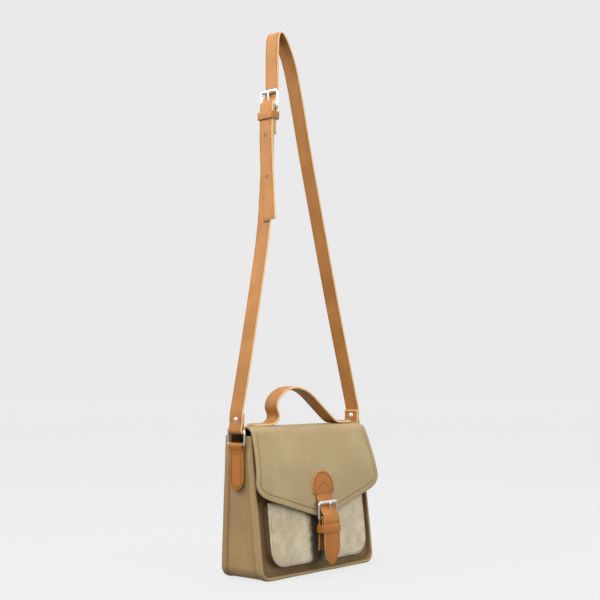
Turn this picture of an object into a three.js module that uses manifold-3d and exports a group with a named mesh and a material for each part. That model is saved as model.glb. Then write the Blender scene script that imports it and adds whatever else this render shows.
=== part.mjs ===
// Satchel bag: a leaning two-panel body with a U gusset, a flap that folds over the front,
// a mock-buckle closure with a hidden snap, a top handle and a long shoulder strap.
// Millimetres, +Z up, front towards -Y. The origin is the middle of the underside.
import * as THREE from 'three';
import * as BufferGeometryUtils from 'three/addons/utils/BufferGeometryUtils.js';
import Module from 'manifold-3d';

const wasm = await Module();
wasm.setup();

// Body
const bodyWidth = 250;
const depthBottom = 81;
const depthTop = 50;
const topShift = 7.5;          // the mouth sits this much further back than the base
const panelHeight = 200;
const gussetHeight = 188;
const bodyCorner = 16;
const wall = 2.4;
const gap = 0.3;               // clearance between pieces that touch
const runningGap = 0.5;        // clearance round a bar that turns in leather
const rimWidth = 4;
const frontRimDepth = 9;
const backRimDepth = 5.8;
const liningThickness = 0.8;
const liningDrop = 2;          // lining edge below the gusset edge
const boardThickness = 2;
const boardInset = 2;          // board's long edges inside the body's two ends of the gusset

// Front pocket
const pocketHalf = 105.5;
const pocketBottom = 17;
const pocketTop = 106;
const pocketCorner = 24;
const pocketStand = 11.8;      // pocket face in front of the front panel
const pocketFaceThickness = 2.2;
const pocketGussetThickness = 1.6;
const pocketGussetInset = 1;   // pocket gusset inside the face's edge
const pocketGussetDrop = 4;    // pocket gusset's ends below the face's upper edge

// Flap
const leather = 1.8;
const flapLiningThickness = 0.9;
const flapRise = 10.5;         // flap crown above the panel edge
const flapDrop = 130.5;        // crown down to the flap's point
const flapFlare = 11;          // flap half width beyond the body's side
const flapStand = 12.6;        // flap in front of the rim at its point
const flapBulge = 2.2;         // extra stand half way down
const flapTopSide = 2.5;       // flap top inside the body's side, clear of the rings
const flapLiningInset = 3;
const anchorHeight = 24;
const anchorThickness = 3.3;
const foldBelowCrown = 8;      // the flap's bend over the mouth's front edge
const flapShoulder = 2;        // flap half width beyond the body's side at its brow
const flapCornerRise = 30;     // flap's rounded lower corners above its point
const flapCornerHeight = 26;
const flapCornerInset = 17;    // flap's lower corners inside the body's side
const flapPointHalf = 7;       // blunt end of the shallow V

// Handle
const handleWidth = 25;
const handleThickness = 3.4;
const handleHeight = 58;
const handleLeft = -60;
const handleRight = 76;
const handleEndLength = 44;
const handlePivot = 13.2;      // the handle bends this far above its flat ends
const handleLap = 6;           // flat end that reaches under the arch

// Closure
const strapThin = 2.4;
const chapeThickness = 2.2;
const patchHalf = 23.5;
const patchHeight = 37;
const patchRise = 30;          // patch's lower edge above the flap's point
const neckHalf = 16;
const billetHalf = 17;
const billetLength = 66;       // strap's free end below the buckle's lower bar
const billetTaper = 16;
const closureBuckleHeight = 23;
const rollerBelowPatch = 9;
const closureStand = 9.7;      // buckle's bars in front of the flap at the patch's lower edge
const chapeLength = 45;
const snapBelowHeel = 33;
const snapRadius = 7;
const snapPost = 3.2;

// Hardware
const wire = 3.2;
const frameCorner = 3;
const rollerPlay = 0.25;
const rollerWall = 1.2;
const prongRadius = 1.2;
const prongEyeWall = 1.1;
const prongEyeHalf = 1.5;
const eyeSlotWidth = 5;        // slot in the folded strap for the prong's eye
const eyeSlotLength = 14;
const buckleSide = 3.4;
const buckleSpare = 1.6;       // buckle's inner width beyond its strap
const prongSlotWidth = 4;
const prongSlotLength = 16;
const keeperWall = 1.8;
const keeperHeight = 11;
const keeperBelowHeel = 12;    // keeper's middle below the buckle's lower bar
const keeperPlay = 0.6;

// Shoulder strap
const strapWidth = 25.5;
const strapThickness = 3;
const strapY = 5;
const strapApex = 791;
const strapApexX = -48;
const buckleTop = 701;
const buckleX = -63;
const buckleHeight = 25;
const freeEndTip = 494;
const holePitch = 62;
const holeRadius = 1.9;

// Side tabs and rings
const ringPlay = 2.9;          // ring's inner width beyond the strap's width
const ringInnerHeight = 17.6;
const tabThickness = 2;
const tabPlay = 1.2;           // ring's inner width beyond the tab's width
const tabEndInset = 1.2;       // the tab's rounded end is this much narrower on each side
const tabTopZ = 186;
const tabLength = 62;
const rivetRise = 15;          // rivet above the ring's upper bar
const rivetRadius = 1.6;
const rivetCap = 4.2;
const foldBack = 24;           // doubled strap end above the ring's upper bar

const halfBody = bodyWidth / 2;
const flapCrown = panelHeight + flapRise;
const ringInnerWidth = strapWidth + ringPlay;
const tabHalf = (ringInnerWidth - tabPlay) / 2;
const barRadius = wire * 0.56;   // circle round the wire's bevelled square section
const rollerBore = barRadius + rollerPlay;
const rollerRadius = rollerBore + rollerWall;

const leanY = (bottom, top) => (z) => bottom + (top - bottom) * z / panelHeight;
const frontY = leanY(-depthBottom / 2, topShift - depthTop / 2);
const backY = leanY(depthBottom / 2, topShift + depthTop / 2);
const shifted = (line, offset) => (z) => line(z) + offset;

// ---------- materials ----------
const finish = (color, roughness, metalness) => (
  new THREE.MeshStandardMaterial({ color, roughness, metalness }));
const materials = {
  khaki: () => finish(0xb8a57b, 0.6, 0),
  sideLeather: () => finish(0xa58a60, 0.6, 0),
  darkLeather: () => finish(0x8a6f48, 0.65, 0),
  tan: () => finish(0xb87840, 0.5, 0),
  hair: () => finish(0xb9aa8c, 0.9, 0),
  lining: () => finish(0x4a3a2c, 0.9, 0),
  board: () => finish(0x6b6152, 0.9, 0),
  metal: () => finish(0xd9d7d2, 0.2, 1),
};

const bag = new THREE.Group();

function addPart(parent, name, geometry, material) {
  const mesh = new THREE.Mesh(geometry, materials[material]());
  mesh.name = name;
  parent.add(mesh);
  return mesh;
}

// ---------- solids ----------
// Extrudes an outline drawn in X and Z along Y, between the surfaces near(z, x) and far(z, x).
function extrudeAcross(shape, near, far, curveSegments = 6) {
  const geometry = new THREE.ExtrudeGeometry(shape, { depth: 1, bevelEnabled: false, curveSegments });
  const position = geometry.attributes.position;
  for (let i = 0; i < position.count; i += 1) {
    const x = position.getX(i);
    const z = position.getY(i);
    const share = position.getZ(i);
    position.setXYZ(i, x, far(z, x) + (near(z, x) - far(z, x)) * share, z);
  }
  return positionOnly(geometry);
}

function positionOnly(geometry) {
  const bare = geometry.clone();
  bare.deleteAttribute('normal');
  bare.deleteAttribute('uv');
  const merged = BufferGeometryUtils.mergeVertices(bare, 1e-4);
  merged.computeVertexNormals();
  return merged;
}

function toSolid(geometry) {
  const merged = positionOnly(geometry);
  const vertProperties = new Float32Array(merged.attributes.position.array);
  const triVerts = new Uint32Array(merged.index.array);
  return new wasm.Manifold(new wasm.Mesh({ numProp: 3, vertProperties, triVerts }));
}

function fromSolid(solid) {
  const mesh = solid.getMesh();
  const geometry = new THREE.BufferGeometry();
  geometry.setAttribute('position', new THREE.BufferAttribute(new Float32Array(mesh.vertProperties), 3));
  geometry.setIndex(new THREE.BufferAttribute(new Uint32Array(mesh.triVerts), 1));
  geometry.computeVertexNormals();
  return geometry;
}

function cut(geometry, ...tools) {
  let solid = toSolid(geometry);
  for (const tool of tools) solid = solid.subtract(toSolid(tool));
  return fromSolid(solid);
}

// A leather strip of constant thickness along a centre line given as two-dimensional points.
// "corner" turns a point of the line's own plane and a side, 0 or 1, into a point in space.
function strip(points, thickness, corner) {
  const vertices = [];
  const faces = [];
  const quad = (a, b, c, d) => faces.push(a, b, c, a, c, d);
  points.forEach((point, i) => {
    const into = point.clone().sub(points[Math.max(i - 1, 0)]).normalize();
    const out = points[Math.min(i + 1, points.length - 1)].clone().sub(point).normalize();
    const along = into.clone().add(out).normalize();
    const turn = Math.max(into.length() && out.length() ? along.dot(out) : 1, 0.6);
    const across = at(-along.y, along.x).multiplyScalar(thickness / 2 / turn);
    const left = point.clone().add(across);
    const right = point.clone().sub(across);
    vertices.push(...corner(right, 0), ...corner(left, 0), ...corner(left, 1), ...corner(right, 1));
    const base = 4 * i;
    for (let k = 0; i > 0 && k < 4; k += 1) {
      const next = (k + 1) % 4;
      quad(base - 4 + k, base - 4 + next, base + next, base + k);
    }
  });
  const last = 4 * (points.length - 1);
  quad(3, 2, 1, 0);
  quad(last, last + 1, last + 2, last + 3);
  return facingOut(vertices, faces);
}

// Builds a closed geometry and turns its faces round if they point inwards.
function facingOut(vertices, faces) {
  const corners = faces.map((index) => new THREE.Vector3().fromArray(vertices, 3 * index));
  let volume = 0;
  for (let i = 0; i < corners.length; i += 3) {
    volume += corners[i].dot(corners[i + 1].clone().cross(corners[i + 2]));
  }
  if (volume < 0) faces.reverse();
  const geometry = new THREE.BufferGeometry();
  geometry.setAttribute('position', new THREE.Float32BufferAttribute(vertices, 3));
  geometry.setIndex(faces);
  geometry.computeVertexNormals();
  return geometry;
}

// A strip whose centre line is drawn in X and Z, as wide as near(z) to far(z) along Y.
function stripAcross(points, thickness, near, far) {
  return strip(points, thickness, (point, side) => [point.x, side ? far(point.y) : near(point.y), point.y]);
}

// A strip whose centre line is drawn in Y and Z, half(z, y) wide on each side of the middle.
function stripSideways(points, thickness, half) {
  const corner = (point, side) => [(2 * side - 1) * half(point.y, point.x), point.x, point.y];
  return strip(points, thickness, corner);
}

// Moves a centre line sideways; positive is to the left of its direction.
function besidePath(points, distance) {
  return points.map((point, i) => {
    const before = points[Math.max(i - 1, 0)];
    const after = points[Math.min(i + 1, points.length - 1)];
    const along = after.clone().sub(before).normalize();
    return new THREE.Vector2(point.x - along.y * distance, point.y + along.x * distance);
  });
}

const at = (x, y) => new THREE.Vector2(x, y);

// Keeps the part of a falling centre line above a height, ended exactly there.
function endedAt(points, height) {
  const next = points.findIndex((point) => point.y <= height);
  const before = points[next - 1];
  const share = (before.y - height) / (before.y - points[next].y);
  return [...points.slice(0, next), before.clone().lerp(points[next], share)];
}

function smoothPath(points, divisions) {
  return new THREE.SplineCurve(points).getSpacedPoints(divisions);
}

// Points of an arc from one angle to another, in degrees, both ends included.
function arcPoints(cx, cy, radius, from, to, steps = 8) {
  return Array.from({ length: steps + 1 }, (_, i) => {
    const angle = THREE.MathUtils.degToRad(from + (to - from) * i / steps);
    return at(cx + radius * Math.cos(angle), cy + radius * Math.sin(angle));
  });
}

// A flat-topped outline with rounded lower corners, its lower edge at "low" and upper edge at "high".
function pouchOutline(half, low, high, corner) {
  const shape = new THREE.Shape();
  shape.moveTo(-half, high);
  shape.lineTo(-half, low + corner);
  shape.absarc(-half + corner, low + corner, corner, Math.PI, Math.PI * 1.5, false);
  shape.lineTo(half - corner, low);
  shape.absarc(half - corner, low + corner, corner, Math.PI * 1.5, Math.PI * 2, false);
  shape.lineTo(half, high);
  shape.closePath();
  return shape;
}

// A U-shaped band of the given thickness just inside a pouch outline.
function bandOutline(half, low, high, corner, thickness) {
  const inner = Math.max(corner - thickness, 1);
  const shape = new THREE.Shape();
  shape.moveTo(-half, high);
  shape.lineTo(-half, low + corner);
  shape.absarc(-half + corner, low + corner, corner, Math.PI, Math.PI * 1.5, false);
  shape.lineTo(half - corner, low);
  shape.absarc(half - corner, low + corner, corner, Math.PI * 1.5, Math.PI * 2, false);
  shape.lineTo(half, high);
  shape.lineTo(half - thickness, high);
  shape.lineTo(half - thickness, low + thickness + inner);
  shape.absarc(half - thickness - inner, low + thickness + inner, inner, 0, -Math.PI / 2, true);
  shape.lineTo(-half + thickness + inner, low + thickness);
  shape.absarc(-half + thickness + inner, low + thickness + inner, inner, -Math.PI / 2, -Math.PI, true);
  shape.lineTo(-half + thickness, high);
  shape.closePath();
  return shape;
}

function roundedRectangle(path, halfX, halfY, corner) {
  path.moveTo(halfX, -halfY + corner);
  path.lineTo(halfX, halfY - corner);
  path.absarc(halfX - corner, halfY - corner, corner, 0, Math.PI / 2, false);
  path.lineTo(-halfX + corner, halfY);
  path.absarc(-halfX + corner, halfY - corner, corner, Math.PI / 2, Math.PI, false);
  path.lineTo(-halfX, -halfY + corner);
  path.absarc(-halfX + corner, -halfY + corner, corner, Math.PI, Math.PI * 1.5, false);
  path.lineTo(halfX - corner, -halfY);
  path.absarc(halfX - corner, -halfY + corner, corner, Math.PI * 1.5, Math.PI * 2, false);
  return path;
}

// A rectangular wire frame lying in its local XY plane, centred on the origin.
function wireFrame(innerX, innerY, sideX, sideY, thickness) {
  const bevel = thickness * 0.22;
  const outerX = innerX / 2 + sideX - bevel;
  const outerY = innerY / 2 + sideY - bevel;
  const outer = roundedRectangle(new THREE.Shape(), outerX, outerY, frameCorner);
  const opening = roundedRectangle(new THREE.Path(), innerX / 2 + bevel, innerY / 2 + bevel, frameCorner / 2);
  outer.holes.push(opening);
  const options = {
    depth: thickness - 2 * bevel, bevelEnabled: true, bevelThickness: bevel, bevelSize: bevel,
    bevelSegments: 1, curveSegments: 3,
  };
  const geometry = new THREE.ExtrudeGeometry(outer, options);
  geometry.translate(0, 0, -(thickness - 2 * bevel) / 2);
  return positionOnly(geometry);
}

// A turned piece about its local Y axis from [radius, height] pairs, closing on itself or on the axis.
function turned(profile, segments = 16) {
  const points = profile.map(([radius, height]) => at(radius, height));
  return positionOnly(new THREE.LatheGeometry(points, segments));
}

function rod(from, to, radius, segments = 10) {
  const direction = to.clone().sub(from);
  const geometry = new THREE.CylinderGeometry(radius, radius, direction.length(), segments);
  const turn = new THREE.Quaternion();
  turn.setFromUnitVectors(new THREE.Vector3(0, 1, 0), direction.clone().normalize());
  geometry.applyQuaternion(turn);
  const middle = from.clone().add(to).multiplyScalar(0.5);
  geometry.translate(middle.x, middle.y, middle.z);
  return geometry;
}

// ---------- body ----------
function addBody() {
  const insetHalf = halfBody - rimWidth - gap;
  const insetCorner = bodyCorner - rimWidth - gap;
  const panel = (height) => pouchOutline(insetHalf, rimWidth + gap, height, insetCorner);
  const frontFar = shifted(frontY, frontRimDepth);
  const frontNear = shifted(frontY, frontRimDepth - wall);
  const backFar = shifted(backY, -backRimDepth + wall);
  const backNear = shifted(backY, -backRimDepth);
  addPart(bag, 'front_panel', extrudeAcross(panel(panelHeight), frontNear, frontFar), 'darkLeather');
  addPart(bag, 'back_panel', extrudeAcross(panel(panelHeight), backNear, backFar), 'khaki');

  const rim = (height) => bandOutline(halfBody, 0, height, bodyCorner, rimWidth);
  addPart(bag, 'front_rim', extrudeAcross(rim(panelHeight), frontY, frontFar), 'khaki');
  addPart(bag, 'back_rim', extrudeAcross(rim(panelHeight), backNear, backY), 'khaki');

  const gussetBand = bandOutline(halfBody, 0, gussetHeight, bodyCorner, wall);
  const gussetNear = shifted(frontY, frontRimDepth + gap);
  const gussetFar = shifted(backY, -backRimDepth - gap);
  addPart(bag, 'gusset', extrudeAcross(gussetBand, gussetNear, gussetFar), 'sideLeather');

  const boardHalf = halfBody - bodyCorner;
  const boardLow = wall + gap;
  const boardShape = new THREE.Shape([
    at(-boardHalf, boardLow), at(boardHalf, boardLow),
    at(boardHalf, boardLow + boardThickness), at(-boardHalf, boardLow + boardThickness),
  ]);
  const boardNear = shifted(frontY, frontRimDepth + boardInset);
  const boardFar = shifted(backY, -backRimDepth - boardInset);
  addPart(bag, 'base_board', extrudeAcross(boardShape, boardNear, boardFar), 'board');
  addLining(gussetNear, gussetFar, boardLow + boardThickness + gap);
}

// The lining is an open-topped pouch of cloth with its own floor over the base board.
function addLining(near, far, floor) {
  const half = halfBody - wall - gap;
  const corner = bodyCorner - wall - gap;
  const top = gussetHeight - liningDrop;
  const outside = extrudeAcross(pouchOutline(half, floor, top, corner), near, far);
  const thin = liningThickness;
  const hollow = pouchOutline(half - thin, floor + thin, top + wall, corner - thin);
  const inside = extrudeAcross(hollow, shifted(near, thin), shifted(far, -thin));
  addPart(bag, 'lining', cut(outside, inside), 'lining');
}

// ---------- pocket ----------
const pocketFaceY = shifted(frontY, frontRimDepth - wall - pocketStand);

function addPocket() {
  const faceShape = pouchOutline(pocketHalf, pocketBottom, pocketTop, pocketCorner);
  const faceInside = shifted(pocketFaceY, pocketFaceThickness);
  addPart(bag, 'pocket_face', extrudeAcross(faceShape, pocketFaceY, faceInside), 'hair');
  const inset = pocketGussetInset;
  const bandTop = pocketTop - pocketGussetDrop;
  const band = bandOutline(
    pocketHalf - inset, pocketBottom + inset, bandTop, pocketCorner - inset, pocketGussetThickness);
  const panelFace = shifted(frontY, frontRimDepth - wall - gap);
  addPart(bag, 'pocket_gusset', extrudeAcross(band, shifted(faceInside, gap), panelFace), 'darkLeather');
}

// ---------- flap ----------
// The flap's centre line in Y and Z, from its hinge line behind the mouth over the crown to its point.
const flapHinge = at(backY(panelHeight) + 0.6, panelHeight + 1.8);
const flapPointZ = flapCrown - flapDrop;
const flapOut = (share) => flapStand * Math.min(1, 3 * share) + flapBulge * Math.sin(Math.PI * share);

function flapLine() {
  const back = flapHinge.x;
  const brow = frontY(panelHeight);
  const down = [0.18, 0.34, 0.5, 0.75, 1].map((share) => {
    const z = flapCrown - flapDrop * share;
    return at(frontY(z) - flapOut(share), z);
  });
  return smoothPath([
    at(back, flapHinge.y + 0.6), at(back - 2.6, flapCrown - 4.6), at(back - 11, flapCrown - 1.2),
    at((back + brow) / 2, flapCrown), at(brow + 3, flapCrown - 1), at(brow - 4, flapCrown - 7), ...down,
  ], 46);
}

// The flap bends across the mouth's front edge; the line is parted there.
const flapPath = flapLine();
const foldAt = flapPath.findIndex((point) => point.x < 0 && point.y < flapCrown - foldBelowCrown);
const flapTopPath = [...flapPath.slice(0, foldAt), flapPath[foldAt - 1].clone().lerp(flapPath[foldAt], 0.85)];
const flapFrontPath = flapPath.slice(foldAt);

// Half the flap's width at a height: straight sides that flare, rounded corners, a shallow V edge.
const flapCornerZ = flapPointZ + flapCornerRise;
const flapWideZ = flapCornerZ + flapCornerHeight;
function flapHalf(z) {
  const sideTop = halfBody + flapShoulder;
  const wide = halfBody + flapFlare;
  if (z >= flapWideZ) return wide + (sideTop - wide) * (z - flapWideZ) / (flapCrown - flapWideZ);
  const cornerHalf = halfBody - flapCornerInset;
  if (z >= flapCornerZ) {
    const share = (flapWideZ - z) / flapCornerHeight;
    return wide - (wide - cornerHalf) * (1 - Math.sqrt(1 - share ** 2));
  }
  return Math.max(flapPointHalf, cornerHalf * (z - flapPointZ) / flapCornerRise);
}

// The flap's top is narrower behind its brow, to pass between the rings.
function flapTopHalf(z, y) {
  const narrow = halfBody - flapTopSide;
  const browStart = strapY - ringInnerWidth / 2 + 1;
  const share = THREE.MathUtils.clamp((browStart - y) / (2 * flapRise - 9), 0, 1);
  return narrow + (flapHalf(z) - narrow) * share;
}

function addFlap() {
  const liningDepth = leather / 2 + gap + flapLiningThickness / 2;
  addPart(bag, 'flap_top', stripSideways(flapTopPath, leather, flapTopHalf), 'khaki');
  addPart(bag, 'flap_front', stripSideways(flapFrontPath, leather, flapHalf), 'khaki');

  const topInner = besidePath(flapTopPath.slice(1, -1), liningDepth);
  const frontInner = besidePath(flapFrontPath.slice(1, -1), liningDepth);
  const inset = (half) => (z, y) => Math.max(half(z, y) - flapLiningInset, 4);
  const topLining = stripSideways(topInner, flapLiningThickness, inset(flapTopHalf));
  const frontLining = stripSideways(frontInner, flapLiningThickness, inset(flapHalf));
  addPart(bag, 'flap_top_lining', topLining, 'lining');
  addPart(bag, 'flap_front_lining', frontLining, 'lining');

  const anchorTop = panelHeight - 0.4;
  const faceAt = shifted(backY, -backRimDepth + wall + gap);
  const anchorHalf = halfBody - rimWidth - 2;
  const anchor = new THREE.Shape([
    at(-anchorHalf, anchorTop - anchorHeight), at(anchorHalf, anchorTop - anchorHeight),
    at(anchorHalf, anchorTop), at(-anchorHalf, anchorTop),
  ]);
  addPart(bag, 'flap_anchor', extrudeAcross(anchor, faceAt, shifted(faceAt, anchorThickness)), 'khaki');
}

// ---------- handle ----------
// The handle's centre line in X and Z. Its two ends lie flat on the flap and are stitched down.
const handleBase = flapCrown + leather / 2 + gap;

function handlePath() {
  const top = handleBase + handleHeight;
  return smoothPath([
    at(handleLeft + 1, handleBase + handleThickness + 1), at(handleLeft - 3, handleBase + 22),
    at(handleLeft + 8, handleBase + 40), at(handleLeft + 38, top - handleThickness),
    at((handleLeft + handleRight) / 2 + 10, handleBase + 44), at(handleRight - 28, handleBase + 23),
    at(handleRight, handleBase + handleThickness + 2),
  ], 26);
}

function addHandle() {
  const pivotZ = handleBase + handleThickness + handlePivot;
  const half = (z) => {
    const below = Math.max(pivotZ - z, 0);
    const foot = Math.sqrt(Math.max((handlePivot - gap) ** 2 - below ** 2, 4));
    return Math.min(handleWidth / 2, foot);
  };
  const arch = stripAcross(handlePath(), handleThickness, (z) => strapY - half(z), (z) => strapY + half(z));
  addPart(bag, 'handle', arch, 'tan');

  for (const [name, x, side] of [['handle_end_left', handleLeft, -1], ['handle_end_right', handleRight, 1]]) {
    const outerX = x + side * (handleEndLength - handleWidth / 2);
    const end = new THREE.Shape();
    const inside = x - side * handleLap;
    end.moveTo(inside, strapY - handleWidth / 2);
    end.lineTo(outerX, strapY - handleWidth / 2);
    end.absarc(outerX, strapY, handleWidth / 2, -Math.PI / 2, Math.PI / 2, side < 0);
    end.lineTo(inside, strapY + handleWidth / 2);
    end.closePath();
    const options = { depth: handleThickness, bevelEnabled: false, curveSegments: 8 };
    const geometry = new THREE.ExtrudeGeometry(end, options);
    geometry.translate(0, 0, handleBase);
    addPart(bag, name, positionOnly(geometry), 'tan');
  }
}

// ---------- closure ----------
// Finds the flap's outer surface at a height by walking along its path.
function flapSurfaceY(z) {
  const path = flapFrontPath;
  for (let i = 1; i < path.length; i += 1) {
    if (path[i].y <= z) {
      const share = (path[i - 1].y - z) / (path[i - 1].y - path[i].y);
      return path[i - 1].x + (path[i].x - path[i - 1].x) * share - leather / 2;
    }
  }
  return path[path.length - 1].x - leather / 2;
}

const patchBottom = flapPointZ + patchRise;
const patchTop = patchBottom + patchHeight;
const closureRollerZ = patchBottom - rollerBelowPatch;
const closureHeelZ = closureRollerZ - closureBuckleHeight;
const closureBarY = flapSurfaceY(patchBottom) - closureStand;
const billetTip = closureHeelZ - billetLength;
const snapZ = closureHeelZ - snapBelowHeel;

// Half the width of a round end at a height, never narrower than "least".
function roundedHalf(radius, fromCentre, least) {
  return Math.max(least, Math.sqrt(Math.max(radius ** 2 - fromCentre ** 2, 0)));
}

function closureHalf(z) {
  const archZ = patchTop - patchHalf;
  if (z > archZ) return roundedHalf(patchHalf, z - archZ, 3);
  if (z > patchBottom) return patchHalf;
  if (z > closureHeelZ) return neckHalf;
  if (z > billetTip + billetTaper) return billetHalf;
  return Math.max(2, billetHalf * Math.sqrt(Math.max(z - billetTip, 0) / billetTaper));
}

const closureInnerY = closureBarY + rollerRadius + runningGap + strapThin / 2;
const chapeOuterY = closureBarY - wire / 2 - runningGap - chapeThickness / 2;
const chapeInnerY = closureBarY + wire / 2 + runningGap + chapeThickness / 2;
const billetY = chapeOuterY - (chapeThickness + strapThin) / 2 - gap;

function closureStrapPath() {
  const onFlap = (z) => at(flapSurfaceY(z) - gap - strapThin / 2, z);
  return [
    ...[0, 0.12, 0.3, 0.6, 0.995].map((share) => onFlap(patchTop - (patchTop - patchBottom) * share)),
    onFlap(patchBottom - gap),
    ...smoothPath([
      at(closureInnerY + 0.3, closureRollerZ + 4), at(closureInnerY, closureRollerZ - 1),
      at(closureBarY - 0.4, closureRollerZ - 9), at(billetY - 1, closureHeelZ + 3),
      at(billetY - 1.4, closureHeelZ - 8), at(billetY - 2.6, closureHeelZ - 30),
      at(billetY - 2.8, billetTip + 18), at(billetY - 2.4, billetTip),
    ], 24),
  ];
}

function chapePath() {
  const outside = [at(chapeOuterY + 1.2, closureHeelZ - 20), at(chapeOuterY, closureHeelZ - 7)];
  const around = arcPoints(closureBarY, closureHeelZ, chapeInnerY - closureBarY, 180, 0, 8);
  const inside = [at(chapeInnerY, closureHeelZ - 7), at(chapeInnerY + 0.2, closureHeelZ - 20),
    at(chapeInnerY + 0.6, closureHeelZ - chapeLength)];
  return [...outside, ...around, ...inside];
}

// One buckle: a wire frame, a roller on its upper bar and a prong hinged on its lower bar.
// "place" turns a geometry made with X across, Y outwards and Z up into the buckle's own place.
function addBuckle(prefix, innerWidth, height, place) {
  const frame = wireFrame(innerWidth, height - wire, buckleSide, wire, wire);
  frame.rotateX(Math.PI / 2);
  frame.translate(0, 0, height / 2);
  addPart(bag, `${prefix}_buckle`, place(frame), 'metal');

  const half = innerWidth / 2 - runningGap;
  const profile = [[rollerBore, -half], [rollerRadius, -half], [rollerRadius, half], [rollerBore, half],
    [rollerBore, -half]];
  const roller = turned(profile, 16);
  roller.rotateZ(Math.PI / 2);
  roller.translate(0, 0, height);
  addPart(bag, `${prefix}_roller`, place(roller), 'metal');

  const eyeInner = barRadius + gap;
  const eyeOuter = eyeInner + prongEyeWall;
  const eye = turned([[eyeInner, -prongEyeHalf], [eyeOuter, -prongEyeHalf], [eyeOuter, prongEyeHalf],
    [eyeInner, prongEyeHalf], [eyeInner, -prongEyeHalf]], 14);
  eye.rotateZ(Math.PI / 2);
  const start = new THREE.Vector3(0, prongEyeWall, eyeInner + prongEyeWall / 2);
  const tip = new THREE.Vector3(0, rollerRadius + gap + prongRadius, height + prongRadius);
  const solid = toSolid(eye).add(toSolid(rod(start, tip, prongRadius, 8)));
  addPart(bag, `${prefix}_prong`, place(fromSolid(solid)), 'metal');
}

function addClosure() {
  const place = (geometry) => {
    geometry.rotateZ(Math.PI);
    geometry.translate(0, closureBarY, closureHeelZ);
    return geometry;
  };
  const height = closureBuckleHeight;
  addBuckle('closure', 2 * billetHalf + buckleSpare, height, place);

  const slot = new THREE.BoxGeometry(prongSlotWidth, 40, prongSlotLength);
  slot.translate(0, closureBarY, closureHeelZ + height * 0.55);
  const strap = stripSideways(closureStrapPath(), strapThin, closureHalf);
  addPart(bag, 'closure_strap', cut(strap, slot), 'tan');

  const chapeHalf = billetHalf - 1.5;
  const endZ = closureHeelZ - chapeLength;
  const half = (z) => roundedHalf(chapeHalf, Math.max(endZ + chapeHalf - z, 0), 3);
  const eyeSlot = new THREE.BoxGeometry(eyeSlotWidth, 20, eyeSlotLength);
  eyeSlot.translate(0, closureBarY, closureHeelZ + 3);
  const chape = chapePath();
  const last = chape.pop();
  const previous = chape[chape.length - 1];
  const run = [0.25, 0.5, 0.7, 0.85, 0.95, 1].map((share) => previous.clone().lerp(last, share));
  const tail = stripSideways([...chape, ...run], chapeThickness, half);
  addPart(bag, 'closure_chape', cut(tail, eyeSlot), 'tan');

  addKeeper('closure_keeper', billetHalf + 2 * keeperPlay, billetY - 2.2 - strapThin / 2 - gap,
    chapeInnerY + chapeThickness / 2 + gap + keeperPlay, closureHeelZ - keeperBelowHeel - 2, false);
  addSnap();
}

// A leather loop around a strap. It is drawn in plan and extruded upwards.
function addKeeper(name, halfAcross, near, far, z, alongX) {
  const middle = (near + far) / 2;
  const halfDeep = (far - near) / 2;
  const outer = roundedRectangle(new THREE.Shape(), halfAcross + keeperWall, halfDeep + keeperWall, 2.4);
  outer.holes.push(roundedRectangle(new THREE.Path(), halfAcross, halfDeep, 0.8));
  const options = { depth: keeperHeight, bevelEnabled: false, curveSegments: 3 };
  const geometry = new THREE.ExtrudeGeometry(outer, options);
  geometry.translate(0, 0, -keeperHeight / 2);
  if (alongX) {
    geometry.rotateZ(Math.PI / 2);
    geometry.translate(middle, strapY, z);
  } else {
    geometry.translate(0, middle, z);
  }
  addPart(bag, name, positionOnly(geometry), 'tan');
}

// The snap's socket sits on the pocket face and its stud on the back of the chape.
function addSnap() {
  const face = pocketFaceY(snapZ) - 0.9;
  const studFace = chapeInnerY + 0.4 + chapeThickness / 2 + gap;
  const length = studFace - face;
  const lip = 2.2;
  const rimFace = lip + 0.6;
  const socket = turned([[0, 0], [snapRadius, 0], [snapRadius, lip], [snapPost, rimFace], [snapPost, 1], [0, 1]]);
  socket.rotateX(Math.PI);
  socket.translate(0, face, snapZ);
  addPart(bag, 'snap_socket', socket, 'metal');
  const reach = -length - rimFace - gap;
  const tip = reach + 1.1;
  const postTip = snapPost - 1.4;
  const stud = turned([[0, 0], [snapRadius - 0.5, 0], [snapRadius - 0.5, reach / 2], [snapPost - 0.6, reach],
    [postTip, tip], [0, tip]]);
  stud.translate(0, studFace, snapZ);
  addPart(bag, 'snap_stud', stud, 'metal');
}

// ---------- side tabs, rings, rivets ----------
const tabLoopInner = wire / 2 + runningGap;
const tabLoopMiddle = tabLoopInner + tabThickness / 2;
const ringX = halfBody + gap + tabThickness + tabLoopInner;
const ringTopZ = tabTopZ + ringInnerHeight + wire;

// The tab's centre line for the right side: up the gusset, round the ring's lower bar, down again.
function tabPath() {
  const innerX = halfBody + gap + tabThickness / 2;
  const outerX = innerX + tabThickness + gap;
  return [
    at(innerX, tabTopZ - tabLength + 2), at(innerX, tabTopZ - 30), at(innerX, tabTopZ - 8),
    ...arcPoints(ringX, tabTopZ, tabLoopMiddle, 180, -20, 9),
    at(outerX + 0.6, tabTopZ - 8), at(outerX, tabTopZ - 12), at(outerX, tabTopZ - 34),
    ...[14, 8, 4, 1.5, 0].map((up) => at(outerX, tabTopZ - tabLength + up)),
  ];
}

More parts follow.
